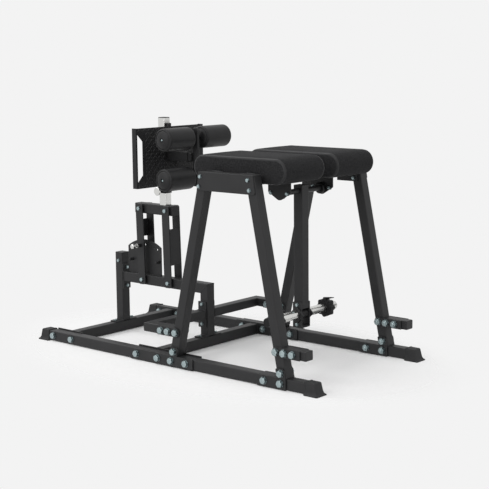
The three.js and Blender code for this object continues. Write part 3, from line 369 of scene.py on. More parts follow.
# %% Points and outlines
SOLE = 3
ORDER = {"x": (1, 2, 0), "y": (0, 2, 1), "z": (0, 1, 2)}


def in_frame(points):
    """Millimetres above the underside of the rails, as metres above the floor."""
    return (np.asarray(points, float) + (0, 0, SOLE)) * MM


def on_axis(axis, section, run):
    """Points with two flat coordinates and a place along an axis, in the order X, Y, Z."""
    local = np.column_stack((section, run))
    placed = np.empty_like(local)
    placed[:, ORDER[axis]] = local
    return placed


def grid_triangles(rows, columns, wrap_rows=False):
    """Triangles of a grid of points kept row by row. Every row joins its end to its start, and with
    wrap_rows every column does too."""
    r = np.arange(rows if wrap_rows else rows - 1)[:, None]
    c = np.arange(columns)[None, :]
    r2, c2 = (r + 1) % rows, (c + 1) % columns
    a, b, d, e = (r * columns + c, r * columns + c2, r2 * columns + c2, r2 * columns + c)
    return np.concatenate([np.stack((a, b, d), -1).reshape(-1, 3), np.stack((a, d, e), -1).reshape(-1, 3)])


def full_turn(sides):
    """Equal angles round a full turn, from 0."""
    return np.linspace(0, 2 * np.pi, sides, endpoint=False)


def arc(centre, radius, first, last, steps):
    """Points at equal angles on a stretch of a circle: centre plus radius times cosine and sine."""
    angle = np.linspace(first, last, steps)
    return centre + radius * np.column_stack((np.cos(angle), np.sin(angle)))


def circle(centre, radius, sides=24):
    """An outline of points at equal angles round a centre."""
    angle = full_turn(sides)
    return np.column_stack((np.cos(angle), np.sin(angle))) * radius + centre


def rounded(width, height, radius, centre=(0, 0), steps=4):
    """A rectangle with round corners: four quarter circles of a few chords, joined in order."""
    quarter = np.linspace(0, np.pi / 2, steps + 1)
    angle = (np.arange(4) * np.pi / 2)[:, None] + quarter
    corner = np.array([(1, 1), (-1, 1), (-1, -1), (1, -1)]) * (width / 2 - radius, height / 2 - radius)
    loop = corner[:, None] + radius * np.stack((np.cos(angle), np.sin(angle)), -1)
    return loop.reshape(-1, 2) + centre


# %% [markdown]
# A prism is a flat outline carried straight along an axis, as a tube or a
# plate is. Its rims are cut back a little, so that they catch the light like
# real ones, and both ends are filled with triangles.

# %% Prisms
def inset(loop, distance):
    """An anticlockwise outline moved into its left by a distance, mitred where its sides meet."""
    ahead = np.roll(loop, -1, 0) - loop
    ahead /= np.linalg.norm(ahead, axis=1, keepdims=True)
    left = np.column_stack((-ahead[:, 1], ahead[:, 0]))
    before = np.roll(left, 1, 0)
    return loop + distance * (left + before) / (1 + np.sum(left * before, 1))[:, None]


def area(loop):
    """Half the sum of the cross products of neighbouring points, positive when anticlockwise."""
    ahead = np.roll(loop, -1, 0)
    return 0.5 * np.sum(loop[:, 0] * ahead[:, 1] - loop[:, 1] * ahead[:, 0])


def run_at(limit, loop):
    """A cut's place along the axis at each point of an outline: one length, or a function of both
    coordinates."""
    return limit(loop[:, 0], loop[:, 1]) if callable(limit) else np.full(len(loop), float(limit))


def fill_of(loops):
    """Anticlockwise triangles that fill an outline and leave its holes open."""
    flat = np.vstack(loops)
    fill = np.array(tessellate_polygon([[Vector((u, v, 0)) for u, v in loop] for loop in loops]))
    a, b, c = (flat[fill[:, k]] for k in range(3))
    twist = (b[:, 0] - a[:, 0]) * (c[:, 1] - a[:, 1]) - (b[:, 1] - a[:, 1]) * (c[:, 0] - a[:, 0])
    return np.where((twist < 0)[:, None], fill[:, ::-1], fill)


def prism(outline, axis, start, end, holes=(), edge=0.8):
    """A flat outline carried from start to end along an axis, with holes right through. Each rim is cut at
    45 degrees by edge, and both ends are filled."""
    loops = [np.asarray(loop, float) for loop in (outline, *holes)]
    loops = [loop if (area(loop) > 0) == (k == 0) else loop[::-1] for k, loop in enumerate(loops)]
    points, triangles, caps, low, high = [], [], [], [], []
    count = 0
    for loop in loops:
        small = inset(loop, edge)
        for section, run in (
                (small, run_at(start, small)), (loop, run_at(start, loop) + edge),
                (loop, run_at(end, loop) - edge), (small, run_at(end, small))):
            points.append(on_axis(axis, section, run))
        triangles.append(grid_triangles(4, len(loop)) + count)
        caps.append(small)
        low.append(np.arange(len(loop)) + count)
        high.append(np.arange(len(loop)) + count + 3 * len(loop))
        count += 4 * len(loop)
    fill = fill_of(caps)
    triangles += [np.concatenate(high)[fill], np.concatenate(low)[fill][:, ::-1]]
    return np.vstack(points), np.vstack(triangles)


def square_tube(axis, centre, start, end, width=60, height=60, radius=6):
    """Steel tube along an axis, with closed ends."""
    return prism(rounded(width, height, radius, centre), axis, start, end, edge=0.6)


# %% [markdown]
# A turned surface is a profile spun about an axis. Washers, bolt heads,
# knobs, plugs and rollers are made so, and the radius may change with the
# angle, which makes hexagons and toothed collars.

# %% Turned surfaces
def turned(run, radius, axis, centre, sign=1):
    """A surface round an axis: every row has its place along the axis and its radius, both of which may
    change with the angle. Points that meet on the axis are merged."""
    rows, sides = radius.shape
    angle = full_turn(sides)
    section = np.stack((radius * np.cos(angle), radius * np.sin(angle)), -1).reshape(-1, 2)
    placed = on_axis(axis, section, sign * run.ravel()) + centre
    _, first, merged = np.unique(np.round(placed, 5), axis=0, return_index=True, return_inverse=True)
    triangles = merged.ravel()[grid_triangles(rows, sides)]
    a, b, c = triangles.T
    return placed[first], triangles[(a != b) & (b != c) & (c != a)]


def lathe(profile, axis, centre, sign=1, sides=32):
    """A profile of (distance along the axis, radius) pairs turned into a closed body."""
    run, radius = np.repeat(np.asarray(profile, float).T[:, :, None], sides, 2)
    return turned(run, radius, axis, centre, sign)


def disc(size, start, end, axis, centre, sign=1, edge=0.6):
    """A plain round bar or washer between two distances along the axis, with cut rims."""
    r = size / 2
    profile = [(start, 0), (start, r - edge), (start + edge, r), (end - edge, r), (end, r - edge), (end, 0)]
    return lathe(profile, axis, centre, sign)


def hexagon_block(flats, start, end, axis, centre, sign, spin, sides=48):
    """A hexagon head: the radius is half the flats over the cosine of the angle from the nearest flat, and
    the top corners are turned off by a 30 degree cone."""
    angle = full_turn(sides) + spin
    hexagon = flats / 2 / np.cos((angle + np.pi / 6) % (np.pi / 3) - np.pi / 6)
    face = np.full(sides, flats / 2 * 0.95)
    drop = (hexagon - face) * np.tan(np.pi / 6)
    zero = np.zeros(sides)
    run = np.array([start + zero, start + zero, end - drop, end + zero, end + zero])
    return turned(run, np.array([zero, hexagon, hexagon, face, zero]), axis, centre, sign)


# %% [markdown]
# A round cord along a closed flat outline makes the weld beads and the pull
# rings. On a bead its radius ripples, as the scales of a weld do.

# %% Rounds along a flat loop
def cord_round(loop, axis, at, radius, ripple=0.0, pitch=4.0, step=1.2, sides=8):
    """A round cord along a closed flat outline at one place on an axis. Its radius swells and shrinks by
    ripple over each pitch."""
    ahead = np.roll(loop, -1, 0) - loop
    lengths = np.linalg.norm(ahead, axis=1)
    reach = np.concatenate(([0], np.cumsum(lengths)))
    count = max(8, int(reach[-1] / step))
    at_length = np.linspace(0, reach[-1], count, endpoint=False)
    closed = np.vstack((loop, loop[:1]))
    path = np.column_stack([np.interp(at_length, reach, closed[:, k]) for k in (0, 1)])
    along = np.roll(path, -1, 0) - np.roll(path, 1, 0)
    along /= np.linalg.norm(along, axis=1, keepdims=True)
    outward = np.column_stack((along[:, 1], -along[:, 0]))
    angle = full_turn(sides)
    scales = round(reach[-1] / pitch)
    thick = radius * (1 + ripple * np.abs(np.sin(np.pi * scales * at_length / reach[-1])))
    section = path[:, None] + thick[:, None, None] * np.cos(angle)[None, :, None] * outward[:, None]
    run = at + thick[:, None] * np.sin(angle)[None, :]
    return on_axis(axis, section.reshape(-1, 2), run.ravel()), grid_triangles(count, sides, wrap_rows=True)


# %% [markdown]
# A loft joins outlines that change along an axis: the rubber boots, the caps
# on tube ends and the pads' foam blocks.

# %% Lofts
def loft(loops, runs, axis):
    """Anticlockwise outlines with equally many points, each at its own place along an axis, joined in order.
    The first and the last are filled."""
    rows, columns = len(loops), len(loops[0])
    placed = on_axis(axis, np.vstack(loops), np.repeat(runs, columns))
    ends = (fill_of(loops[:1])[:, ::-1], fill_of(loops[-1:]) + (rows - 1) * columns)
    return placed, np.vstack((grid_triangles(rows, columns), *ends))


def soft_cap(width, depth, centre, low, high, radius, axis="z"):
    """A cap over a tube's end: the section shrinks along a quarter circle of a radius towards its top."""
    bend = np.linspace(0, np.pi / 2, 6)
    draw = np.concatenate(([0], radius * (1 - np.cos(bend))))
    run = np.concatenate(([low], high - radius + radius * np.sin(bend)))
    loops = [rounded(width - 2 * d, depth - 2 * d, 5, centre) for d in draw]
    return loft(loops, run, axis)


# %% [markdown]
# One function turns shells into an object. It checks by the enclosed volume
# that faces point outwards, keeps rims sharp and shades curves smoothly, and
# lets flat faces keep their own normals so that they look flat. Then the
# piece rides on its body and takes its finish.

# %% Making a piece
SMOOTH_BELOW = 46
FINISH_SLOT = {finish.name: slot for slot, finish in SLOT_FINISH.items()}
FINISH_SLOT |= {rim_vinyl.name: "pad_vinyl", shade_darkened_zinc.name: "zinc_plate", worn_and_highlit_coat.name: "tread_plate"}
made_pieces = []


def outward(points, triangles):
    """The triangles turned so that the signed volume under them is positive."""
    a, b, c = (points[triangles[:, k]] - points.mean(0) for k in range(3))
    volume = np.sum(a * np.cross(b, c))
    return triangles if volume > 0 else triangles[:, ::-1]


def mesh_of(name, parts):
    """A mesh of closed shells, each a pair of points in millimetres and triangles."""
    starts = np.cumsum([0] + [len(points) for points, _ in parts])
    points = in_frame(np.vstack([points for points, _ in parts]))
    triangles = np.vstack([outward(*part) + start for part, start in zip(parts, starts)])
    mesh = bpy.data.meshes.new(name)
    mesh.vertices.add(len(points))
    mesh.vertices.foreach_set("co", points.astype(np.float32).ravel())
    mesh.loops.add(triangles.size)
    mesh.loops.foreach_set("vertex_index", triangles.astype(np.int32).ravel())
    mesh.polygons.add(len(triangles))
    mesh.polygons.foreach_set("loop_start", np.arange(0, triangles.size, 3, dtype=np.int32))
    mesh.polygons.foreach_set("use_smooth", np.ones(len(triangles), bool))
    mesh.update(calc_edges=True)
    return mesh


def place_piece(name, mesh, body, finish, replaced):
    """The object of a finished mesh, on its body, standing for the CAD nodes it replaces, which are hidden.
    """
    mesh.materials.append(finish)
    piece = in_scene(name, mesh)
    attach(piece, body)
    if replaced:
        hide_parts(*replaced)
    made_pieces.append(piece)
    return piece


def make_piece(name, body, finish, parts, replaced=()):
    """A rigid piece of one or more closed shells."""
    mesh = mesh_of(name, parts)
    mesh.set_sharp_from_angle(angle=np.radians(SMOOTH_BELOW))
    piece = place_piece(name, mesh, body, finish, replaced)
    even = piece.modifiers.new("flat_faces_stay_flat", "WEIGHTED_NORMAL")
    even.keep_sharp = True
    return piece


def frame_piece(name, parts, replaced=(), body="root"):
    """A piece of powder-coated steel, on the standing frame where no other body is named."""
    make_piece(name, body, powder_coat, parts, replaced)


SIDES = {"near": -1, "far": 1}

# %% [markdown]
# Bolts come in two sizes. A big frame bolt is an M20 with a 32 mm hexagon on
# a 43 mm washer, and the plates carry M10. Each head sits on its washer, and
# where the far side shows, a nut and the end of the thread do too. Heads are
# turned a little from one another, as spanners leave them.

# %% Bolts
BOLTS = {
    "frame": dict(washer=43, thick=3, flats=32, head=12, shank=20),
    "plate": dict(washer=24, thick=2, flats=16, head=6.5, shank=10),
}
bolt_count = 0


def bolt(kind, axis, sign, seat, step=0.35):
    """Washer and hexagon head out of a seat point, turned by a step for each bolt made so far."""
    global bolt_count
    bolt_count += 1
    b = BOLTS[kind]
    washer = disc(b["washer"], 0, b["thick"], axis, seat, sign, edge=0.4)
    top = b["thick"] + b["head"]
    return [washer, hexagon_block(b["flats"], b["thick"] - 0.2, top, axis, seat, sign, step * bolt_count)]


def nut(kind, axis, sign, seat):
    """Washer, nut and the chamfered end of the thread on the far side of a plate."""
    b = BOLTS[kind]
    end, shank = b["thick"] + b["head"] + b["shank"] / 4, b["shank"]
    return [*bolt(kind, axis, sign, seat, 0.5), disc(shank, 0, end, axis, seat, sign, edge=shank / 12)]


def fasten(name, body, fasteners):
    """Two pieces for a set of bolts and nuts: their bright heads, and the washers under them, darkened with
    painted shade.
    """
    make_piece(name, body, zinc_plate, [part for fastener in fasteners for part in fastener[1:]])
    make_piece(f"{name}_washers", body, shade_darkened_zinc, [fastener[0] for fastener in fasteners])


# %% [markdown]
# The base: two side rails of 60 mm tube, each in a rubber boot at both ends,
# and two cross tubes welded to joint plates that are bolted to the rails.
# The weld beads are modelled, with a scale every 4 mm, because light catches
# them from close by.

# %% Rails and boots
RAIL_Y, RAIL_Z, RAIL_FACE, RAIL_END = 452.5, 30, 482.5, 1016.7
BOOT_MOUTH, BOOT_END = 962, 1051
CUFF_WIDTH, CUFF_HEIGHT, CUFF_Z, CUFF_END = 68.6, 66.8, 31.2, 971
FIT = 0.3


def across(sign, limits):
    """Lower and upper limits on one side of the machine."""
    return sorted(sign * limit for limit in limits)


def boot(sign_x, y):
    """A block of rubber over the rail's end: its section in plan shrinks with height, fast at the lip and
    then slowly up a leaning end wall. A cuff stands round its mouth."""
    z = np.array([-3, -2.2, 1.8, 3, 5, 8, 12, 17, 24, 56, 60, 62.2, 63])
    half = (42, 43, 43, 42.4, 39, 36.6, 34.8, 33.6, 33.1, 33, 32.4, 31, 29)
    back = np.array([1, 0, 0, 0.8, 4.6, 8, 10.6, 13, 15.6, 24.8, 26.6, 28.4, 31])
    loops = [rounded(e - BOOT_MOUTH, 2 * h, 7, (sign_x * (e + BOOT_MOUTH) / 2, y))
             for e, h in zip(BOOT_END - back, half)]
    cuff = prism(rounded(CUFF_WIDTH, CUFF_HEIGHT, 7, (y, CUFF_Z)), "x",
                 *across(sign_x, (BOOT_MOUTH - 0.5, CUFF_END)), edge=1.2)
    return [loft(loops, z, "z"), cuff]


for side, sign in SIDES.items():
    y = sign * RAIL_Y
    frame_piece(f"{side}_rail_tube", [square_tube("x", (y, RAIL_Z), -RAIL_END, RAIL_END)],
                [f"{side}_side_rail"])
    for end, sign_x in (("front", 1), ("rear", -1)):
        make_piece(f"{side}_{end}_rubber_boot", "root", moulded_rubber, boot(sign_x, y),
                   [f"{side}_{end}_boot"])
print(len(made_pieces), "pieces: rails and boots")

# %% Cross tubes and joint plates
REAR_X, MIDDLE_X = -828, -125
REAR_FOOT, FRONT_FOOT = 62, 821
FOOT_Z, LEG_TOP = 60.3, 1077
REAR_LEAN = (303 - REAR_FOOT) / (LEG_TOP - FOOT_Z)
FRONT_LEAN = (613 - FRONT_FOOT) / (LEG_TOP - FOOT_Z)
THICK = 8
OUTER_PLATE = (RAIL_FACE + FIT, RAIL_FACE + FIT + THICK)
INNER_PLATE = (414.2, 414.2 + THICK)
CROSS_HALF, CROSS_WELD = 418, 413
REAR_SPAN, MIDDLE_SPAN, FRONT_SPAN = (-952, -742), (-266, 208), (659, 849)
LOW_TOP, HIGH_TOP, TAB_TOP = 60, 66, 110


def rail_plate(start, end, top, foot=None, lean=0.0):
    """Joint plate outline in X and Z. Where a leg stands on it, a tab leans up the leg with two cut
    corners."""
    tab, half, cut = [], 28, 8
    if foot is not None:
        root, head = foot + lean * (top - 52), foot + lean * 50
        tab = [(root + half, top), (head + half, TAB_TOP - cut), (head + half - cut, TAB_TOP),
               (head - half + cut, TAB_TOP), (head - half, TAB_TOP - cut), (root - half, top)]
    return np.array([(start, 0), (end, 0), (end, top), *tab, (start, top)], float)


def tube_bead(axis, at, centre, size=(60, 60), radius=2.4):
    """Weld bead round a square tube where it meets a plate."""
    return cord_round(rounded(*size, 6, centre), axis, at, radius, ripple=0.18)


def cross_beam(x, z, outline):
    """A tube across the machine, with a plate and its weld at each end."""
    parts = [square_tube("y", (x, z), -CROSS_HALF, CROSS_HALF)]
    for sign in SIDES.values():
        parts += [prism(outline, "y", *across(sign, INNER_PLATE)), tube_bead("y", sign * CROSS_WELD, (x, z))]
    return parts


for name, x, outline in (
        ("rear", REAR_X, rail_plate(*REAR_SPAN, HIGH_TOP)),
        ("middle", MIDDLE_X, rail_plate(*MIDDLE_SPAN, HIGH_TOP, REAR_FOOT, REAR_LEAN))):
    frame_piece(f"{name}_cross_member", cross_beam(x, RAIL_Z, outline), [f"{name}_cross_tube"])

middle_plate = rail_plate(*MIDDLE_SPAN, LOW_TOP, REAR_FOOT, REAR_LEAN)
front_plate = rail_plate(*FRONT_SPAN, LOW_TOP, FRONT_FOOT, FRONT_LEAN)
BOLT_Z, TAB_BOLT_Z, TAB_BOLT_RISE = 32, 84, 24
rear_leg_bolt = (REAR_FOOT + REAR_LEAN * TAB_BOLT_RISE, TAB_BOLT_Z)
front_leg_bolt = (FRONT_FOOT + FRONT_LEAN * TAB_BOLT_RISE, TAB_BOLT_Z)
OUTER_BOLTS = [(x, BOLT_Z) for x in (-217, -54, 49, 158)] + [
    rear_leg_bolt, (707, BOLT_Z), (815, BOLT_Z), front_leg_bolt]
REAR_BOLTS = [(-926, BOLT_Z), (-768, BOLT_Z)]
for side, sign in SIDES.items():
    for piece, outline, limits, node in (
            ("middle_gusset", middle_plate, OUTER_PLATE, "middle_joint_plate"),
            ("front_gusset", front_plate, OUTER_PLATE, "front_joint_plate"),
            ("front_backing_plate", front_plate, INNER_PLATE, "front_inner_plate")):
        frame_piece(f"{side}_{piece}", [prism(outline, "y", *across(sign, limits))], [f"{side}_{node}"])
    parts = []
    for face, places in ((OUTER_PLATE[1], OUTER_BOLTS), (RAIL_FACE, REAR_BOLTS)):
        for x, z in places:
            parts.append(bolt("frame", "y", sign, (x, sign * face, z)))
            parts.append(nut("frame", "y", -sign, (x, sign * INNER_PLATE[0], z)))
    fasten(f"{side}_rail_bolts", "root", parts)
print(len(made_pieces), "pieces with joint plates and their bolts")

# %% [markdown]
# The two A-frames. Each leg is a tube cut level at both ends, so its outline
# leans with its height: the section moves along X by the lean times the
# height. The tube between the tops is cut to the legs' slopes, and a flat
# cover plate is bolted over the joint. The plate is left bare.

# %% A-frames
TOP_Z = 1047
PLATE_BOLTS = [(286, 1052), (610.6, 1052), (275, 1000), (621, 1000)]


def leaning_leg(foot, lean, y):
    """A square tube along Z, sheared so that its middle follows foot + lean * (z - foot height)."""
    points, triangles = square_tube("z", (foot, y), FOOT_Z, LEG_TOP)
    sheared = points + np.column_stack((lean * (points[:, 2] - FOOT_Z), np.zeros((len(points), 2))))
    return sheared, triangles


def leg_face(foot, lean, offset):
    """The place along X of a leg's face at each height, for cutting a tube to it."""
    return lambda y, z: foot + offset + lean * (z - FOOT_Z)


COVER_Z, COVER_REAR, COVER_FRONT, COVER_ROUND = 979, (259, 272), (656, 642), 12
corner = arc((COVER_FRONT[0] - COVER_ROUND, COVER_Z + COVER_ROUND), COVER_ROUND, -np.pi / 2, 0, 6)
cover = np.vstack((
    [(COVER_REAR[0], COVER_Z)], corner, [(COVER_FRONT[1], LEG_TOP), (COVER_REAR[1], LEG_TOP)]))
for side, sign in SIDES.items():
    y = sign * RAIL_Y
    for end, foot, lean in (("rear", REAR_FOOT, REAR_LEAN), ("front", FRONT_FOOT, FRONT_LEAN)):
        frame_piece(f"{side}_{end}_leg_tube", [leaning_leg(foot, lean, y)], [f"{side}_{end}_leg"])
    to_legs = (leg_face(REAR_FOOT, REAR_LEAN, 30 + FIT), leg_face(FRONT_FOOT, FRONT_LEAN, -30 - FIT))
    frame_piece(f"{side}_top_rail", [square_tube("x", (y, TOP_Z), *to_legs)], [f"{side}_top_tube"])
    frame_piece(f"{side}_bare_cover_plate", [prism(cover, "y", *across(sign, OUTER_PLATE), edge=1.2)],
                [f"{side}_cover_plate"])
    fasten(f"{side}_cover_plate_bolts", "root", [
        bolt("plate", "y", sign, (x, sign * OUTER_PLATE[1], z)) for x, z in PLATE_BOLTS])
print(len(made_pieces), "pieces with the A-frames")

# %% [markdown]
# Short step stubs stand out in front of the front legs, and L-shaped braces
# run from the rear legs to the front post. Both grip their leg between two
# fork plates with a round end, held by three frame bolts.

# %% Stubs and braces
STUB_Z, STUB_HEIGHT, TUBE_END, STUB_END = 192, 50, 952, 973
STUB_FORK, STUB_BOLTS = (761, 939), (786, 838, 893)
BRACE_X, BRACE_FORK, BRACE_BOLTS = MIDDLE_X - 8, (-51, 114), (-23, 28.5, 86.5)
FLANGE_Z, FLANGE_HEIGHT, FLANGE_BOLTS = 189, 152, (249, 134)
BESIDE_LOW, BESIDE_HIGH = BESIDE = (30 + FIT, 30 + FIT + THICK)


def fork_plates(start, end, round_at_start, y):
    """Two plates beside a tube and as high as it. One end is square and the other a half circle."""
    half = STUB_HEIGHT / 2
    curve = arc((end - half, STUB_Z), half, -np.pi / 2, np.pi / 2, 13)
    outline = np.vstack((curve, [(start, STUB_Z + half), (start, STUB_Z - half)]))
    if round_at_start:
        outline[:, 0] = start + end - outline[:, 0]
    return [prism(outline, "y", y + low, y + low + THICK) for low in (-BESIDE_HIGH, BESIDE_LOW)]


for side, sign in SIDES.items():
    y = sign * RAIL_Y
    outer, inner = sign * (RAIL_Y + BESIDE_HIGH), sign * (RAIL_Y - BESIDE_HIGH)
    stub = square_tube("x", (y, STUB_Z), leg_face(FRONT_FOOT, FRONT_LEAN, BESIDE_LOW), TUBE_END,
                       60, STUB_HEIGHT)
    nose = soft_cap(60, STUB_HEIGHT, (y, STUB_Z), TUBE_END + 0.4, STUB_END, 4, "x")
    frame_piece(f"{side}_step_peg", [stub, nose, *fork_plates(*STUB_FORK, True, y)], [f"{side}_step_stub"])
    arm = square_tube("x", (y, STUB_Z), lambda v, w: BRACE_X + sign * (y - v),
                      leg_face(REAR_FOOT, REAR_LEAN, -BESIDE_LOW), 60, STUB_HEIGHT)
    reach = (sign * (BESIDE_LOW + THICK / 2), lambda x, z: y - sign * (x - BRACE_X))
    bar = square_tube("y", (BRACE_X, STUB_Z), *(reach if sign > 0 else reach[::-1]), 60, STUB_HEIGHT)
    flange = prism(rounded(60, FLANGE_HEIGHT, 3, (BRACE_X, FLANGE_Z)), "y", *across(sign, BESIDE))
    frame_piece(f"{side}_corner_brace", [
        arm, bar, flange, tube_bead("y", sign * (BESIDE_HIGH + 1.2), (BRACE_X, STUB_Z), (60, STUB_HEIGHT)),
        *fork_plates(*BRACE_FORK, False, y)], [f"{side}_brace"])
    parts = []
    for x in (*STUB_BOLTS, *BRACE_BOLTS):
        parts += [bolt("frame", "y", sign, (x, outer, STUB_Z)), nut("frame", "y", -sign, (x, inner, STUB_Z))]
    parts += [bolt("plate", "y", sign, (BRACE_X, sign * BESIDE_HIGH, z)) for z in FLANGE_BOLTS]
    fasten(f"{side}_stub_and_brace_bolts", "root", parts)
print(len(made_pieces), "pieces with legs, stubs and braces")

# %% [markdown]
# The bridge between the two cross tubes: a rear post, a front post, and a
# beam that is mitred to the front post and bolted to the rear one. The index
# plate stands on the beam, with a fan of holes for the link pin and two
# rubber stops.

# %% Bridge
PIVOT = np.array([-612, 342])
PITCH_X = 216
POST_FOOT_TOP, REAR_POST_TOP, BEAM_Z = FOOT_Z + 6, 486, 340
BEAM_START, BEAM_PLATE = -796, (REAR_X + BESIDE_LOW, REAR_X + BESIDE_HIGH)
STOP_SHIFT, STOP_SIZE, STOP_LENGTH = 111.7, 17, 32
mitre_bead = np.array([(-25, -30), (30, 25), (25, 30), (-30, -25)]) * 0.97 + (MIDDLE_X, BEAM_Z)


def post(x, top):
    """An upright tube on a flat foot with a weld round it."""
    foot = prism(rounded(60, 170, 4, (x, 0)), "z", FOOT_Z, POST_FOOT_TOP)
    return [square_tube("z", (x, 0), FOOT_Z, top), foot, tube_bead("z", POST_FOOT_TOP + 1.2, (x, 0))]


frame_piece("rear_upright", post(REAR_X, REAR_POST_TOP - 3), ["rear_post"])
make_piece("rear_upright_cap", "root", moulded_nylon, [
    soft_cap(60, 60, (REAR_X, 0), REAR_POST_TOP - 3, REAR_POST_TOP, 2.4)])
frame_piece("front_upright", post(MIDDLE_X, lambda x, y: BEAM_Z + x - MIDDLE_X), ["front_post"])
frame_piece("bridge_tube", [
    square_tube("x", (0, BEAM_Z), BEAM_START, lambda y, z: MIDDLE_X + z - BEAM_Z),
    prism(rounded(60, 154, 3, (0, 339)), "x", *BEAM_PLATE), tube_bead("x", BEAM_PLATE[1] + 1.1, (0, BEAM_Z)),
    *[prism(mitre_bead, "y", *across(sign, (28, 31)), edge=0.9) for sign in SIDES.values()]],
    ["bridge_beam"])

HOLE_RADIUS, LEAN_DEGREES = 208, 1.7
fan = np.radians(7.2 * np.arange(-3, 5) - LEAN_DEGREES)
index_holes = [circle(PIVOT + HOLE_RADIUS * np.array((np.sin(a), np.cos(a))), 6.5, 20) for a in fan]
QUADRANT, QUADRANT_BACK, QUADRANT_ENDS, INDEX_PLATE = 238, 8, (-151, 126), (-8.5, -0.5)
reach = np.array(QUADRANT_ENDS[::-1]) + QUADRANT_BACK
curve = arc((-QUADRANT_BACK, 0), QUADRANT, *np.arctan2(np.sqrt(QUADRANT**2 - reach**2), reach), 40)
low = BEAM_Z + BESIDE_LOW - PIVOT[1]
index_outline = np.vstack(([(end, low) for end in QUADRANT_ENDS], curve)) + PIVOT
weld_middle = (PIVOT[0] + np.mean(QUADRANT_ENDS), np.mean(INDEX_PLATE))
weld_loop = rounded(np.ptp(QUADRANT_ENDS) - 6, 6, 2.9, weld_middle)
frame_piece("index_quadrant", [
    prism(index_outline, "y", *INDEX_PLATE, index_holes, edge=0.6),
    cord_round(weld_loop, "z", BEAM_Z + 31, 2.2, ripple=0.18)], ["index_plate"])
stop_y, stop_z = INDEX_PLATE[0] + 0.1, PIVOT[1] + STOP_SHIFT
make_piece("rubber_stops", "root", moulded_rubber, [
    disc(STOP_SIZE, 0, STOP_LENGTH, "y", (PIVOT[0] + shift, stop_y, stop_z), -1, edge=2)
    for shift in (-STOP_SHIFT, STOP_SHIFT)])

parts = [bolt("plate", "x", 1, (BEAM_PLATE[1], 0, z)) for z in (394, 280)]
parts += [bolt("plate", "z", 1, (x, y, POST_FOOT_TOP)) for x in (REAR_X, MIDDLE_X) for y in (-68, 68)]
parts.append(bolt("plate", "y", -1, (REAR_X, -30, 434)))
fasten("bridge_bolts", "root", parts)
print(len(made_pieces), "pieces with the bridge")

# %% [markdown]
# Two links of flat bar carry the carrier tube. They lean back by 1.7 degrees,
# so each is drawn upright and then turned about its lower pivot. Its two bars
# are joined by a web plate, and spacers hold them off the tubes. A 16 mm bolt
# with a low head and a nut goes through each pivot.

# %% Links
LEAN = np.radians(LEAN_DEGREES)
LINK, LINK_WIDTH, LINK_FACE, WEB_X = 430, 56, 48, 24
PIVOT_SIZE, SPACER_SIZE, PIVOT_WASHER, PIVOT_FLATS = 16, 30, 26, 21
CARRIER_SHIFT = -LINK * np.sin(LEAN)
CARRIER_Z = PIVOT[1] + LINK * np.cos(LEAN)


def leaned(parts, x):
    """Parts drawn upright from (0, 0, 0), turned back by the lean about Y and moved to the pivot at x."""
    c, s = np.cos(LEAN), np.sin(LEAN)
    turn_back = np.array([(c, 0, s), (0, 1, 0), (-s, 0, c)])
    return [(points @ turn_back + (x, 0, PIVOT[1]), triangles) for points, triangles in parts]


def link_parts(web_from, web_to, web_side):
    """Two round-cornered bars, a web between them and four spacers."""
    bar = rounded(LINK_WIDTH, LINK + LINK_WIDTH, LINK_WIDTH / 4, (0, LINK / 2), 5)
    web_x = web_side * WEB_X
    weld = rounded(THICK, web_to - web_from, 3.5, (web_x, (web_from + web_to) / 2))
    parts = [prism(rounded(THICK, 2 * (LINK_FACE - THICK), 1, (web_x, 0)), "z", web_from, web_to, edge=0.6)]
    for face in (-1, 1):
        parts.append(prism(bar, "y", *across(face, (LINK_FACE - THICK, LINK_FACE))))
        parts += [disc(SPACER_SIZE, BESIDE_LOW, LINK_FACE - 7.5, "y", (0, 0, z), face) for z in (0, LINK)]
        parts.append(cord_round(weld, "y", face * (LINK_FACE - 8.7), 2.0, ripple=0.18))
    return parts


LINKS = {"rear": (PIVOT[0], (257, 361, -1)), "front": (PIVOT[0] + PITCH_X, (107, 322, 1))}
for link, (x, web) in LINKS.items():
    frame_piece(f"{link}_link_bars", leaned(link_parts(*web), x), [f"{link}_link"], f"{link}_link")
for level, body, shift, z in (
        ("lower", "root", 0, PIVOT[1]), ("upper", "carrier", CARRIER_SHIFT, CARRIER_Z)):
    for link, (x, _) in LINKS.items():
        parts, washers = [disc(PIVOT_SIZE, -LINK_FACE - 0.5, LINK_FACE + 0.5, "y", (x + shift, 0, z))], []
        for face in (-1, 1):
            seat = (x + shift, face * (LINK_FACE + FIT), z)
            washers.append(disc(PIVOT_WASHER, 0, 1.6, "y", seat, face, edge=0.4))
            parts.append(hexagon_block(PIVOT_FLATS, 1.4, 9, "y", seat, face, 0.3 + face))
        make_piece(f"{link}_{level}_pivot", body, zinc_plate, parts, [f"{link}_link_{level}_bolt"])
        # The pivot washers also take the zinc darkened with painted shade.
        make_piece(f"{link}_{level}_pivot_washers", body, shade_darkened_zinc, washers)
print(len(made_pieces), "pieces with the links")

# %% [markdown]
# Pull pins. The housing is screwed or welded to the plate, a chromed rod
# goes through it, and a knob or a ring on the rod's end is pulled against
# a spring.

# %% Pull pins
PIN_RADIUS = 11
POST_X, HEIGHT_PIN_Z, ARM_PIN_X, ARM_Z = -448.5, 887, -357, 1096


def rod_and_knob(seat, body, neck, knob, knob_length, tip):
    """Rod and knob of a pull pin that points to the near side, drawn from its seat outwards. The tip reaches
    back through the plate, and the knob's rims are rounded by a third of its smaller size."""
    start, r, edge = body + neck, knob / 2, min(knob_length, knob) / 3
    end = start + knob_length
    profile = np.vstack(([(start, 0)], arc((start + edge, r - edge), edge, np.pi, np.pi / 2, 5),
                         arc((end - edge, r - edge), edge, np.pi / 2, 0, 5), [(end, 0)]))
    return [disc(10, -tip, start + 1, "y", seat, -1, edge=1.5), lathe(profile, "y", seat, -1, 40)]


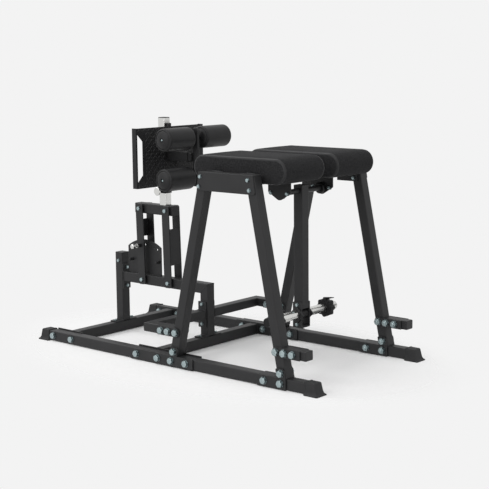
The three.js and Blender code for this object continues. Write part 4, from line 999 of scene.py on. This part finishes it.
def housing(axis, seat, length):
    """A turned housing with a wider foot and a groove under its rim."""
    r = PIN_RADIUS
    profile = [(0, 0), (0, r), (length * 0.22, r), (length * 0.26, r - 1.2), (length * 0.8, r - 1.2),
               (length * 0.84, r), (length - 1, r), (length, r - 1), (length, 0)]
    return lathe(profile, axis, seat, -1)


pin_x, pin_z = PIVOT + HOLE_RADIUS * np.array((-np.sin(LEAN), np.cos(LEAN)))
collar = cord_round(circle((pin_x, pin_z), PIN_RADIUS, 32), "y", -79, 1.5)
for pin, seat, sizes, extra in (
        ("link_pin", (pin_x, -LINK_FACE - FIT, pin_z), (18, 36, 30, 18, 39.4), [collar]),
        ("height_pin", (POST_X, -28.5, HEIGHT_PIN_Z), (14, 18, 48, 12, 3), [])):
    make_piece(f"{pin}_rod_and_knob", pin, chrome_plate, rod_and_knob(seat, *sizes) + extra, [pin])
    make_piece(f"{pin}_housing", pin, moulded_nylon, [housing("y", seat, sizes[0] + 0.5)])
arm_seat = (ARM_PIN_X, 0, ARM_Z - BESIDE_LOW)
make_piece("arm_pin_rod", "arm_pin", chrome_plate, [disc(10, -4, 12, "z", arm_seat, -1, edge=1.5)],
           ["arm_pin"])
make_piece("arm_pin_housing_and_ring", "arm_pin", moulded_nylon, [
    housing("z", arm_seat, 12.5), disc(8, 12, 20, "z", arm_seat, -1),
    cord_round(circle((arm_seat[0], arm_seat[2] - 22), 10, 32), "y", 0, 1.3)])
print(len(made_pieces), "pieces with the pins")

# %% [markdown]
# The carrier tube and the square chrome post. Holes run up the post's near
# face every 30 mm. The face is a plate of its own with round holes, and the
# rest of the tube is a channel round it, so that the holes open into a
# hollow tube.

# %% Carrier and post
POST_TOP, HOLE_Z, CARRIER = 1318, HEIGHT_PIN_Z + 30 * np.arange(12), (-674, -368)
frame_piece("carrier_beam", [square_tube("x", (0, CARRIER_Z), *CARRIER)], ["carrier_tube"], "carrier")


def channel_outline(centre_x, half, wall, radius):
    """A square tube's section without the flat of its near side."""
    near = half - radius
    right = arc((near, -near), radius, -np.pi / 2, 0, 5)
    far = arc((near, near), radius, 0, np.pi / 2, 5)
    outer = np.vstack((right, far, far[::-1] * (-1, 1), right[::-1] * (-1, 1)))
    i, gap = half - wall, near
    inner = np.array([(-gap, -i), (-i, -i), (-i, i), (i, i), (i, -i), (gap, -i)])
    return np.vstack((outer, inner)) + (centre_x, 0)


POST_HALF, POST_WALL, POST_ROUND = 25, 3, 4
low, high, gap = CARRIER_Z + BESIDE_LOW, POST_TOP - 4, POST_HALF - POST_ROUND
post_face = np.array([(-gap, low), (gap, low), (gap, high), (-gap, high)]) + (POST_X, 0)
post_holes = [circle((POST_X, z), 6) for z in HOLE_Z]
make_piece("chrome_post", "carrier", chrome_plate, [
    prism(channel_outline(POST_X, POST_HALF, POST_WALL, POST_ROUND), "z", low, high, edge=0.2),
    prism(post_face, "y", -POST_HALF, POST_WALL - POST_HALF, post_holes, edge=0.2)], ["height_post"])
make_piece("chrome_post_cap", "carrier", moulded_nylon, [
    soft_cap(2 * POST_HALF, 2 * POST_HALF, (POST_X, 0), high, POST_TOP, 3.6)])
print(len(made_pieces), "pieces with the carrier and the post")

# %% [markdown]
# The carriage slides on the post: a sleeve with a bush under it, a strap at
# its front, a box for the roller arm, and the tread plate with a hand hold
# cut in each side.

# %% Carriage
SLEEVE, STRAP, BUSH, BOX = (905, 1255), (925, 1284), (873, 904.7), (-418, -239)
STRAP_X, SLEEVE_BORE, BOX_BORE, BUSH_SIZE, BUSH_BORE = -409.65, 53.6, 51.4, 56.4, 50.8


def open_tube(centre, size, bore, radius, bore_radius, axis, run, edge=0.8):
    """A square tube with an open bore, along an axis over a run."""
    hole = rounded(bore, bore, bore_radius, centre)
    return prism(rounded(size, size, radius, centre), axis, *run, [hole], edge)


frame_piece("sliding_sleeve", [
    open_tube((POST_X, 0), 60, SLEEVE_BORE, 6, 3, "z", SLEEVE),
    prism(rounded(16.7, 24, 1.5, (STRAP_X, 0)), "z", *STRAP),
    open_tube((0, ARM_Z), 60, BOX_BORE, 6, 3, "x", BOX)], ["height_sleeve"], "carriage")
make_piece("sleeve_guide_bush", "carriage", moulded_nylon, [
    open_tube((POST_X, 0), BUSH_SIZE, BUSH_BORE, 5, 4, "z", BUSH, 1.2)], ["sleeve_bush"])

PLATE_FRONT, PLATE_THICK, PLATE_HALF, PLATE_LOW, PLATE_HIGH = -396, 5, 277, 922, 1266
WINDOW_Z, WINDOW_IN, WINDOW_OUT, FLANGE_BACK = (PLATE_LOW + PLATE_HIGH) / 2, 229, 271, -433
window = np.array([
    (WINDOW_OUT, -138.5), (WINDOW_IN, -96.5), (WINDOW_IN, 96.5), (WINDOW_OUT, 138.5)]) + (0, WINDOW_Z)
arm_hole = rounded(2 * BESIDE_LOW, 2 * BESIDE_LOW, 6, (0, ARM_Z))
plate = [(side * PLATE_HALF, z) for side, z in
         ((-1, PLATE_LOW), (1, PLATE_LOW), (1, PLATE_HIGH), (-1, PLATE_HIGH))]
plate_holes = [window, window * (-1, 1), arm_hole]
plate_parts = [prism(plate, "x", PLATE_FRONT - PLATE_THICK, PLATE_FRONT, plate_holes, edge=0.5)]
for sign in SIDES.values():
    flange = [(FLANGE_BACK, sign * PLATE_HALF), (PLATE_FRONT - 1, sign * PLATE_HALF),
              (PLATE_FRONT - 1, sign * (PLATE_HALF - PLATE_THICK)),
              (FLANGE_BACK, sign * (PLATE_HALF - PLATE_THICK))]
    plate_parts.append(prism(flange, "z", PLATE_LOW, PLATE_HIGH, edge=0.5))
make_piece("tread_foot_plate", "carriage", tread_coat, plate_parts, ["foot_plate"])


def tread_bars(pitch=20.0, half_length=12.8, half_width=3.2, height=2.0):
    """Lens-shaped bars on a square grid, turned 45 degrees one way and the other in turn. Along a bar its
    width and height shrink as 1 - s squared. Round it each ring is an ellipse, half sunk in the plate."""
    row, column = np.indices((27, 17))
    y, z = pitch * (row - 13), WINDOW_Z + pitch * (column - 8)
    turn_sign = np.where((row + column) % 2 == 0, 1, -1)
    margin = 12
    past_edge = np.abs(y) - (WINDOW_IN - margin)
    hold = (past_edge > 0) & (np.abs(z - WINDOW_Z) < 150 - past_edge * 0.1)
    box_hole = (np.abs(y) < 30 + margin) & (np.abs(z - ARM_Z) < 30 + margin)
    y, z, turn_sign = (grid[~hold & ~box_hole][:, None, None] for grid in (y, z, turn_sign))
    rings, sides = 7, 6
    s = np.linspace(-1, 1, rings)[:, None]
    angle = full_turn(sides)
    across_bar = (half_width * (1 - s**2) + 0.02) * np.cos(angle)
    lift = (height * (1 - s**2) + 0.02) * np.sin(angle)
    along_bar = half_length * s
    c = np.sqrt(0.5)
    py = y + c * (along_bar - turn_sign * across_bar)
    pz = z + c * (turn_sign * along_bar + across_bar)
    points = np.stack(np.broadcast_arrays(PLATE_FRONT + lift, py, pz), -1).reshape(-1, 3)
    fan = np.array([(0, i + 1, i) for i in range(1, sides - 1)])
    end = rings * sides - sides
    one = np.vstack((grid_triangles(rings, sides), fan, fan[:, ::-1] + end))
    bars = np.arange(len(y))[:, None, None] * rings * sides
    return points, (one + bars).reshape(-1, 3)


# The raised bars take the lighter coat. Part of its colour is a painted highlight.
make_piece("tread_bars", "carriage", worn_and_highlit_coat, [tread_bars()])
print(len(made_pieces), "pieces with the carriage")

# %% [markdown]
# The roller arm slides in the box. Its flat bar carries two axles, and two
# foam rollers turn on each. The bar's top is a half circle with a broad worn
# edge. A roller is a profile turned about Y: a rounded rim, a shallow domed
# end and a small recess round the axle.

# %% Roller arm and rollers
BAR_X, BAR_HALF, BAR_LOW, BAR_ROUND_Z, BAR_THICK = -196, 20, 927, 1247, 20
ARM, ARM_SIZE = (-399, -214), 50
ROLLER_X, ROLLER_Z, ROLLER_IN, ROLLER_OUT = -210, {"upper": 1207, "lower": 980.5}, 38, 268
AXLE_SIZE, AXLE_HALF, AXLE_END_SIZE, AXLE_END = 19, 261, 11.5, (258, 266)
bar_outline = np.vstack((arc((BAR_X, BAR_ROUND_Z), BAR_HALF, 0, np.pi, 17),
                         [(BAR_X - BAR_HALF, BAR_LOW), (BAR_X + BAR_HALF, BAR_LOW)]))
frame_piece("roller_arm_and_bar", [
    square_tube("x", (0, ARM_Z), *ARM, ARM_SIZE, ARM_SIZE, 5),
    prism(bar_outline, "y", -BAR_THICK / 2, BAR_THICK / 2, edge=3.5)], ["roller_arm"], "arm")
axles, axle_ends = [], []
for z in ROLLER_Z.values():
    axles.append(disc(AXLE_SIZE, -AXLE_HALF, AXLE_HALF, "y", (ROLLER_X, 0, z)))
    for sign in SIDES.values():
        axle_ends.append(disc(AXLE_END_SIZE, *AXLE_END, "y", (ROLLER_X, 0, z), sign, edge=1.2))
make_piece("roller_axles", "arm", moulded_nylon, axles)
make_piece("roller_axle_ends", "arm", zinc_plate, axle_ends)


def roller_body(z, sign):
    """One foam roller as a lathe profile. Each end is a dome that falls as the radius squared, by 12 mm at
    54 mm, then a small step and a quarter circle of 10.8 mm out to the barrel."""
    r = np.array([9.8, 11, 13, 22, 31, 40, 47, 50.5, 52])
    dome = np.column_stack((12 * (r / 54)**2 + np.array([6, 0.8, 0, 0, 0, 0, 0.4, 2.2, 2.6]), r))
    end = np.vstack((dome, arc((22.2, 53.2), 10.8, np.pi, np.pi / 2, 7)))
    far_end = (end * (-1, 1) + (ROLLER_OUT, 0))[::-1]
    profile = np.vstack((end + (ROLLER_IN, 0), far_end, [(ROLLER_IN + 6, 9.8)]))
    return lathe(profile, "y", (ROLLER_X, 0, z), sign, 64)


for side, sign in SIDES.items():
    for level, z in ROLLER_Z.items():
        foam = make_piece(f"{side}_{level}_foam_roller", f"{side}_{level}_roller", skinned_foam,
                          [roller_body(z, sign)], [f"{side}_{level}_roller"])
print(len(made_pieces), "pieces with the rollers")

# %% [markdown]
# The pads rest on two crossbars with a plate at each end. Under the front
# one hang the bearing plates of the pendulum.

# %% Crossbars and bearings
PAD_BEAMS = {"rear": 330, "front": 566}
END_PLATES = {"rear": rounded(110, 60, 3, (330, TOP_Z)), "front": rounded(138, 106, 3, (570, 1024))}
for name, x in PAD_BEAMS.items():
    frame_piece(f"{name}_pad_beam", cross_beam(x, TOP_Z, END_PLATES[name]), [f"{name}_pad_crossbar"])

PIVOT_X, PIVOT_Z = 568, 953
HANGER, HANGER_TOP = (179, 179 + THICK), 1016.7
tip = arc((PIVOT_X, 948), 30, *np.radians((-122, -58)), 7)
hanger = np.vstack((tip, [
    (641, 957), (644, 962), (644, HANGER_TOP), (492, HANGER_TOP), (492, 962), (495, 957)]))
for side, sign in SIDES.items():
    plate = prism(hanger, "y", *across(sign, HANGER))
    weld_loop = rounded(150, 7, 3.4, (PIVOT_X, sign * sum(HANGER) / 2))
    weld = cord_round(weld_loop, "z", HANGER_TOP - 0.7, 2.2, ripple=0.18)
    frame_piece(f"{side}_bearing_hanger", [plate, weld], [f"{side}_bearing_plate"])
    boss = [(179.5, 0), (179.5, 31), (161, 31), (157, 27), (157, 16), (179, 16), (179, 0)]
    make_piece(f"{side}_bearing_housing", "root", moulded_nylon,
               [lathe(boss, "y", (PIVOT_X, 0, PIVOT_Z), sign)])
    parts = [nut("plate", "y", -sign, (614.6, sign * INNER_PLATE[0], 989.6))]
    for x in (511, 621):
        parts.append(bolt("plate", "y", sign, (x, sign * HANGER[1], 956)))
        parts.append(nut("plate", "y", -sign, (x, sign * HANGER[0], 956)))
    fasten(f"{side}_bearing_bolts", "root", parts)
print(len(made_pieces), "pieces with crossbars and bearings")

# %% [markdown]
# The pendulum: a square tube on a shaft, a fork of two plates at its foot
# with a diamond plate on each side, and the round chromed sleeve that takes
# the weight discs. Plugs close the sleeve's ends.

# %% Pendulum
WEIGHT_Z, WEIGHT_HALF, WEIGHT_RADIUS, WEIGHT_BORE = 280, 298, 24, 20
WEIGHT_AXIS, WEIGHT_PLACE = (PIVOT_X, WEIGHT_Z), (PIVOT_X, 0, WEIGHT_Z)
ARM_RUN, SHAFT_SIZE, SHAFT_HALF = (312, 985), 30, HANGER[1] - 1
FORK_LOW, FORK_HEIGHT, DIAMOND = 207, 142, (BESIDE_HIGH - 0.2, BESIDE_HIGH + THICK)
frame_piece("pendulum_tube_and_shaft", [
    square_tube("z", (PIVOT_X, 0), *ARM_RUN),
    disc(SHAFT_SIZE, -SHAFT_HALF, SHAFT_HALF, "y", (PIVOT_X, 0, PIVOT_Z), edge=1.5)],
    ["pendulum_arm"], "pendulum")
cheek = rounded(60, FORK_HEIGHT, 5, (PIVOT_X, FORK_LOW + FORK_HEIGHT / 2))
floor_plate = np.array([(-30, -31), (30, -31), (30, 31), (-30, 31)]) + (PIVOT_X, 0)
fork_parts = [prism(floor_plate, "z", FORK_LOW, FORK_LOW + THICK)]
for face in (-1, 1):
    fork_parts += [
        prism(cheek, "y", *across(face, BESIDE), [circle(WEIGHT_AXIS, WEIGHT_RADIUS + 0.6)]),
        prism(circle(WEIGHT_AXIS, 49, 4), "y", *across(face, DIAMOND),
              [circle(WEIGHT_AXIS, WEIGHT_RADIUS + 0.4)], edge=1.2),
        cord_round(circle(WEIGHT_AXIS, 26), "y", face * (DIAMOND[1] + 0.2), 2.0, ripple=0.18)]
frame_piece("pendulum_fork_plates", fork_parts, ["pendulum_fork"], "pendulum")
fasten("pendulum_bolts", "pendulum", [
    bolt("plate", "y", face, (PIVOT_X, face * BESIDE_HIGH, z)) for z in (333, 226) for face in (-1, 1)])
sleeve_ring, sleeve_bore = circle(WEIGHT_AXIS, WEIGHT_RADIUS, 48), circle(WEIGHT_AXIS, WEIGHT_BORE, 48)
plug_profile = np.array([(-18, 0), (-18, 19.8), (-7, 19.8), (-6.5, 24), (-5, 24), (-2.5, 23), (-0.6, 20.5),
                         (0, 17), (-1, 9), (-1.4, 0)]) + (WEIGHT_HALF, 0)
make_piece("weight_tube", "pendulum", chrome_plate, [
    prism(sleeve_ring, "y", 4 - WEIGHT_HALF, WEIGHT_HALF - 6, [sleeve_bore], edge=0.6),
    lathe(plug_profile, "y", WEIGHT_PLACE)], ["weight_sleeve"])
cap_profile = np.array([(-18, 0), (-18, 24.1), (-14, 24.3), (-5, 24.3), (-2, 23.4), (-0.4, 21), (0, 17),
                        (0, 0)]) + (WEIGHT_HALF, 0)
liner = prism(circle(WEIGHT_AXIS, 27, 32), "y", -30, 30, [circle(WEIGHT_AXIS, 24.5, 32)])
make_piece("weight_tube_cap_and_liner", "pendulum", moulded_nylon, [
    lathe(cap_profile, "y", WEIGHT_PLACE, -1), liner])

COLLAR_IN, LEVER = 199, (214, 224)


def collar_ring(sign):
    """A lock collar with a bore and eight pointed teeth: the radius swells by 9 mm times the 1.6th power of
    the size of the cosine of four times the angle."""
    sides = 96
    angle, flat = full_turn(sides), np.ones(sides)
    tooth = 44.5 + 9 * np.abs(np.cos(4 * angle))**1.6
    run = COLLAR_IN + np.array([0, 0, 3, 37, 40, 40, 37.5, 37.5, 0])[:, None] * flat
    radius = np.array([24.6 * flat, tooth - 3.5, tooth, tooth, tooth - 3.5, 33 * flat, 30 * flat,
                       24.6 * flat, 24.6 * flat])
    return turned(run, radius, "y", WEIGHT_PLACE, sign)


for side, sign in SIDES.items():
    lever = prism([(556, 326), (584, 328), (622, 338), (624, 342), (590, 339), (552, 334)], "y",
                  *across(sign, LEVER), edge=1)
    make_piece(f"{side}_weight_lock", f"{side}_collar", moulded_nylon, [collar_ring(sign), lever],
               [f"{side}_lock_collar"])
print(len(made_pieces), "pieces with the pendulum")

# %% [markdown]
# The pads are foam under a vinyl cover that is sewn at a seam round each end
# and stapled to a board underneath. A pad starts as a slightly small block
# with round ends, rounded rims and notches for the crossbars.

# %% Pad block
PAD_MIDDLE, PAD_STRAIGHT, PAD_RADIUS = (458, 1090), 248, 67
PAD_INNER, PAD_OUTER, PAD_BOTTOM = 55, 389, 1023
NOTCHES, NOTCH_TOP = PAD_BEAMS.values(), 1073
SEAM_RADIUS, SEAM_INSET = 64.5, 2.5
SWELL_CAP, PAD_RIM = 9, 12


def stadium(radius, steps=28):
    """A round-ended outline in X and Z: two half circles about the ends of a straight middle line."""
    front = arc((PAD_STRAIGHT, 0), radius, -np.pi / 2, np.pi / 2, steps)
    return np.vstack((front, -front)) + PAD_MIDDLE


def notched_outline(draw):
    """The stadium drawn in by a length, with its underside cut up for the crossbars."""
    loop = stadium(PAD_RADIUS - draw)
    loop[:, 1] = np.maximum(loop[:, 1], PAD_BOTTOM + draw)
    steps = [(x + s * 28.5, z) for x in NOTCHES for s, z in
             ((-1, PAD_BOTTOM + draw), (-1, NOTCH_TOP), (1, NOTCH_TOP), (1, PAD_BOTTOM + draw))]
    return np.vstack((loop, steps))


bend = np.linspace(0, np.pi / 2, 5)
draw, back = PAD_RIM * (1 - np.sin(bend)), PAD_RIM * (1 - np.cos(bend))
block_loops = [notched_outline(d) for d in (*draw, *draw[::-1])]
block_runs = np.concatenate((back - PAD_OUTER, -PAD_INNER - back[::-1]))
near_start = mesh_of("near_pad_cover", [loft(block_loops, block_runs, "y")])
print("pad block", len(near_start.vertices), "points")

# %% [markdown]
# The block is cut into even squares and blown up as cloth, with the board
# and the seams held still. So the faces swell between the seams as a stuffed
# cover does.

# %% Pad cover
def held_points(points):
    """True where the cover can't move: at the board, in the notches and along the two seams. Points are
    in millimetres."""
    x, y, z = points.T
    ring = np.hypot(np.maximum(0, np.abs(x - PAD_MIDDLE[0]) - PAD_STRAIGHT), z - PAD_MIDDLE[1])
    to_end = np.minimum(np.abs(y + PAD_OUTER - SEAM_INSET), np.abs(y + PAD_INNER + SEAM_INSET))
    seam = np.hypot(ring - SEAM_RADIUS, to_end) < 6
    notch = np.min([np.abs(x - at) for at in NOTCHES], axis=0) < 37
    return seam | (z < PAD_BOTTOM + 6) | (notch & (z < NOTCH_TOP + 5))


def mesh_points(mesh):
    """A mesh's points as an array, in metres."""
    flat = np.empty(len(mesh.vertices) * 3, np.float32)
    mesh.vertices.foreach_get("co", flat)
    return flat.reshape(-1, 3).astype(float)


def even_copy(start, voxel):
    """The start mesh cut into even squares of one size."""
    draft = in_scene("pad_draft", start)
    squares = draft.modifiers.new("squares", "REMESH")
    squares.mode, squares.voxel_size = "VOXEL", voxel * MM
    even = bpy.data.meshes.new_from_object(draft.evaluated_get(bpy.context.evaluated_depsgraph_get()))
    bpy.data.objects.remove(draft)
    return even


def blown_up(even):
    """Runs the cover as pressed cloth for twenty frames and returns its new points in metres, no further
    off than the cap."""
    before = mesh_points(even)
    cover = in_scene("pad_cover", even)
    held = cover.vertex_groups.new(name="held")
    held.add(np.flatnonzero(held_points(before / MM - (0, 0, SOLE))).tolist(), 1.0, "REPLACE")
    cloth = cover.modifiers.new("cloth", "CLOTH")
    cloth.settings.use_pressure = True
    cloth.settings.uniform_pressure_force = 4
    cloth.settings.effector_weights.gravity = 0
    cloth.settings.vertex_group_mass = "held"
    cloth.point_cache.frame_start, cloth.point_cache.frame_end = 1, 20
    for moment in range(1, 21):
        bpy.context.scene.frame_set(moment)
    after = mesh_points(cover.evaluated_get(bpy.context.evaluated_depsgraph_get()).data)
    bpy.data.objects.remove(cover)
    bpy.context.scene.frame_set(1)
    moved = after - before
    size = np.linalg.norm(moved, axis=1, keepdims=True)
    return before + moved * np.minimum(1, SWELL_CAP * MM / np.maximum(size, 1e-9))


near_cover = even_copy(near_start, 5)
near_points = blown_up(near_cover)
swell = np.linalg.norm(near_points - mesh_points(near_cover), axis=1).max() / MM
near_cover.vertices.foreach_set("co", near_points.astype(np.float32).ravel())
print("pad cover", len(near_points), "points, swollen by up to", round(float(swell), 1), "mm")

# %% [markdown]
# The far pad is the near one's mirror image. The faces round the rims take
# the stretched vinyl, and one step of subdivision rounds the squares.

# %% Pads
far_cover = near_cover.copy()
far_cover.name = "far_pad_cover"
far_cover.vertices.foreach_set("co", (near_points * (1, -1, 1)).astype(np.float32).ravel())
far_cover.flip_normals()
for side, cover_mesh in (("near", near_cover), ("far", far_cover)):
    cover_mesh.materials.clear()
    cover_mesh.polygons.foreach_set("use_smooth", np.ones(len(cover_mesh.polygons), bool))
    middles = np.empty(len(cover_mesh.polygons) * 3, np.float32)
    cover_mesh.polygons.foreach_get("center", middles)
    x, y, z = np.abs(middles.reshape(-1, 3).T / MM - [[PAD_MIDDLE[0]], [0], [PAD_MIDDLE[1] + SOLE]])
    ring = np.hypot(np.maximum(0, x - PAD_STRAIGHT), z)
    to_end = np.minimum(PAD_OUTER - y, y - PAD_INNER)
    cushion = place_piece(f"{side}_pad_cushion", cover_mesh, "root", pad_vinyl, [f"{side}_pad"])
    cover_mesh.materials.append(rim_vinyl)
    on_rim = (to_end < PAD_RIM) & (ring > PAD_RADIUS - PAD_RIM)
    cover_mesh.polygons.foreach_set("material_index", on_rim.astype(np.int32))
    smoother = cushion.modifiers.new("finer", "SUBSURF")
    smoother.levels = smoother.render_levels = 1

# %% Finish
low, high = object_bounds()
sizes = {"cad": [list(cad_low), list(cad_high)], "scene": [list(low), list(high)]}
print(len(made_pieces), "pieces in all, scene box", [round(c, 4) for c in (*low, *high)])
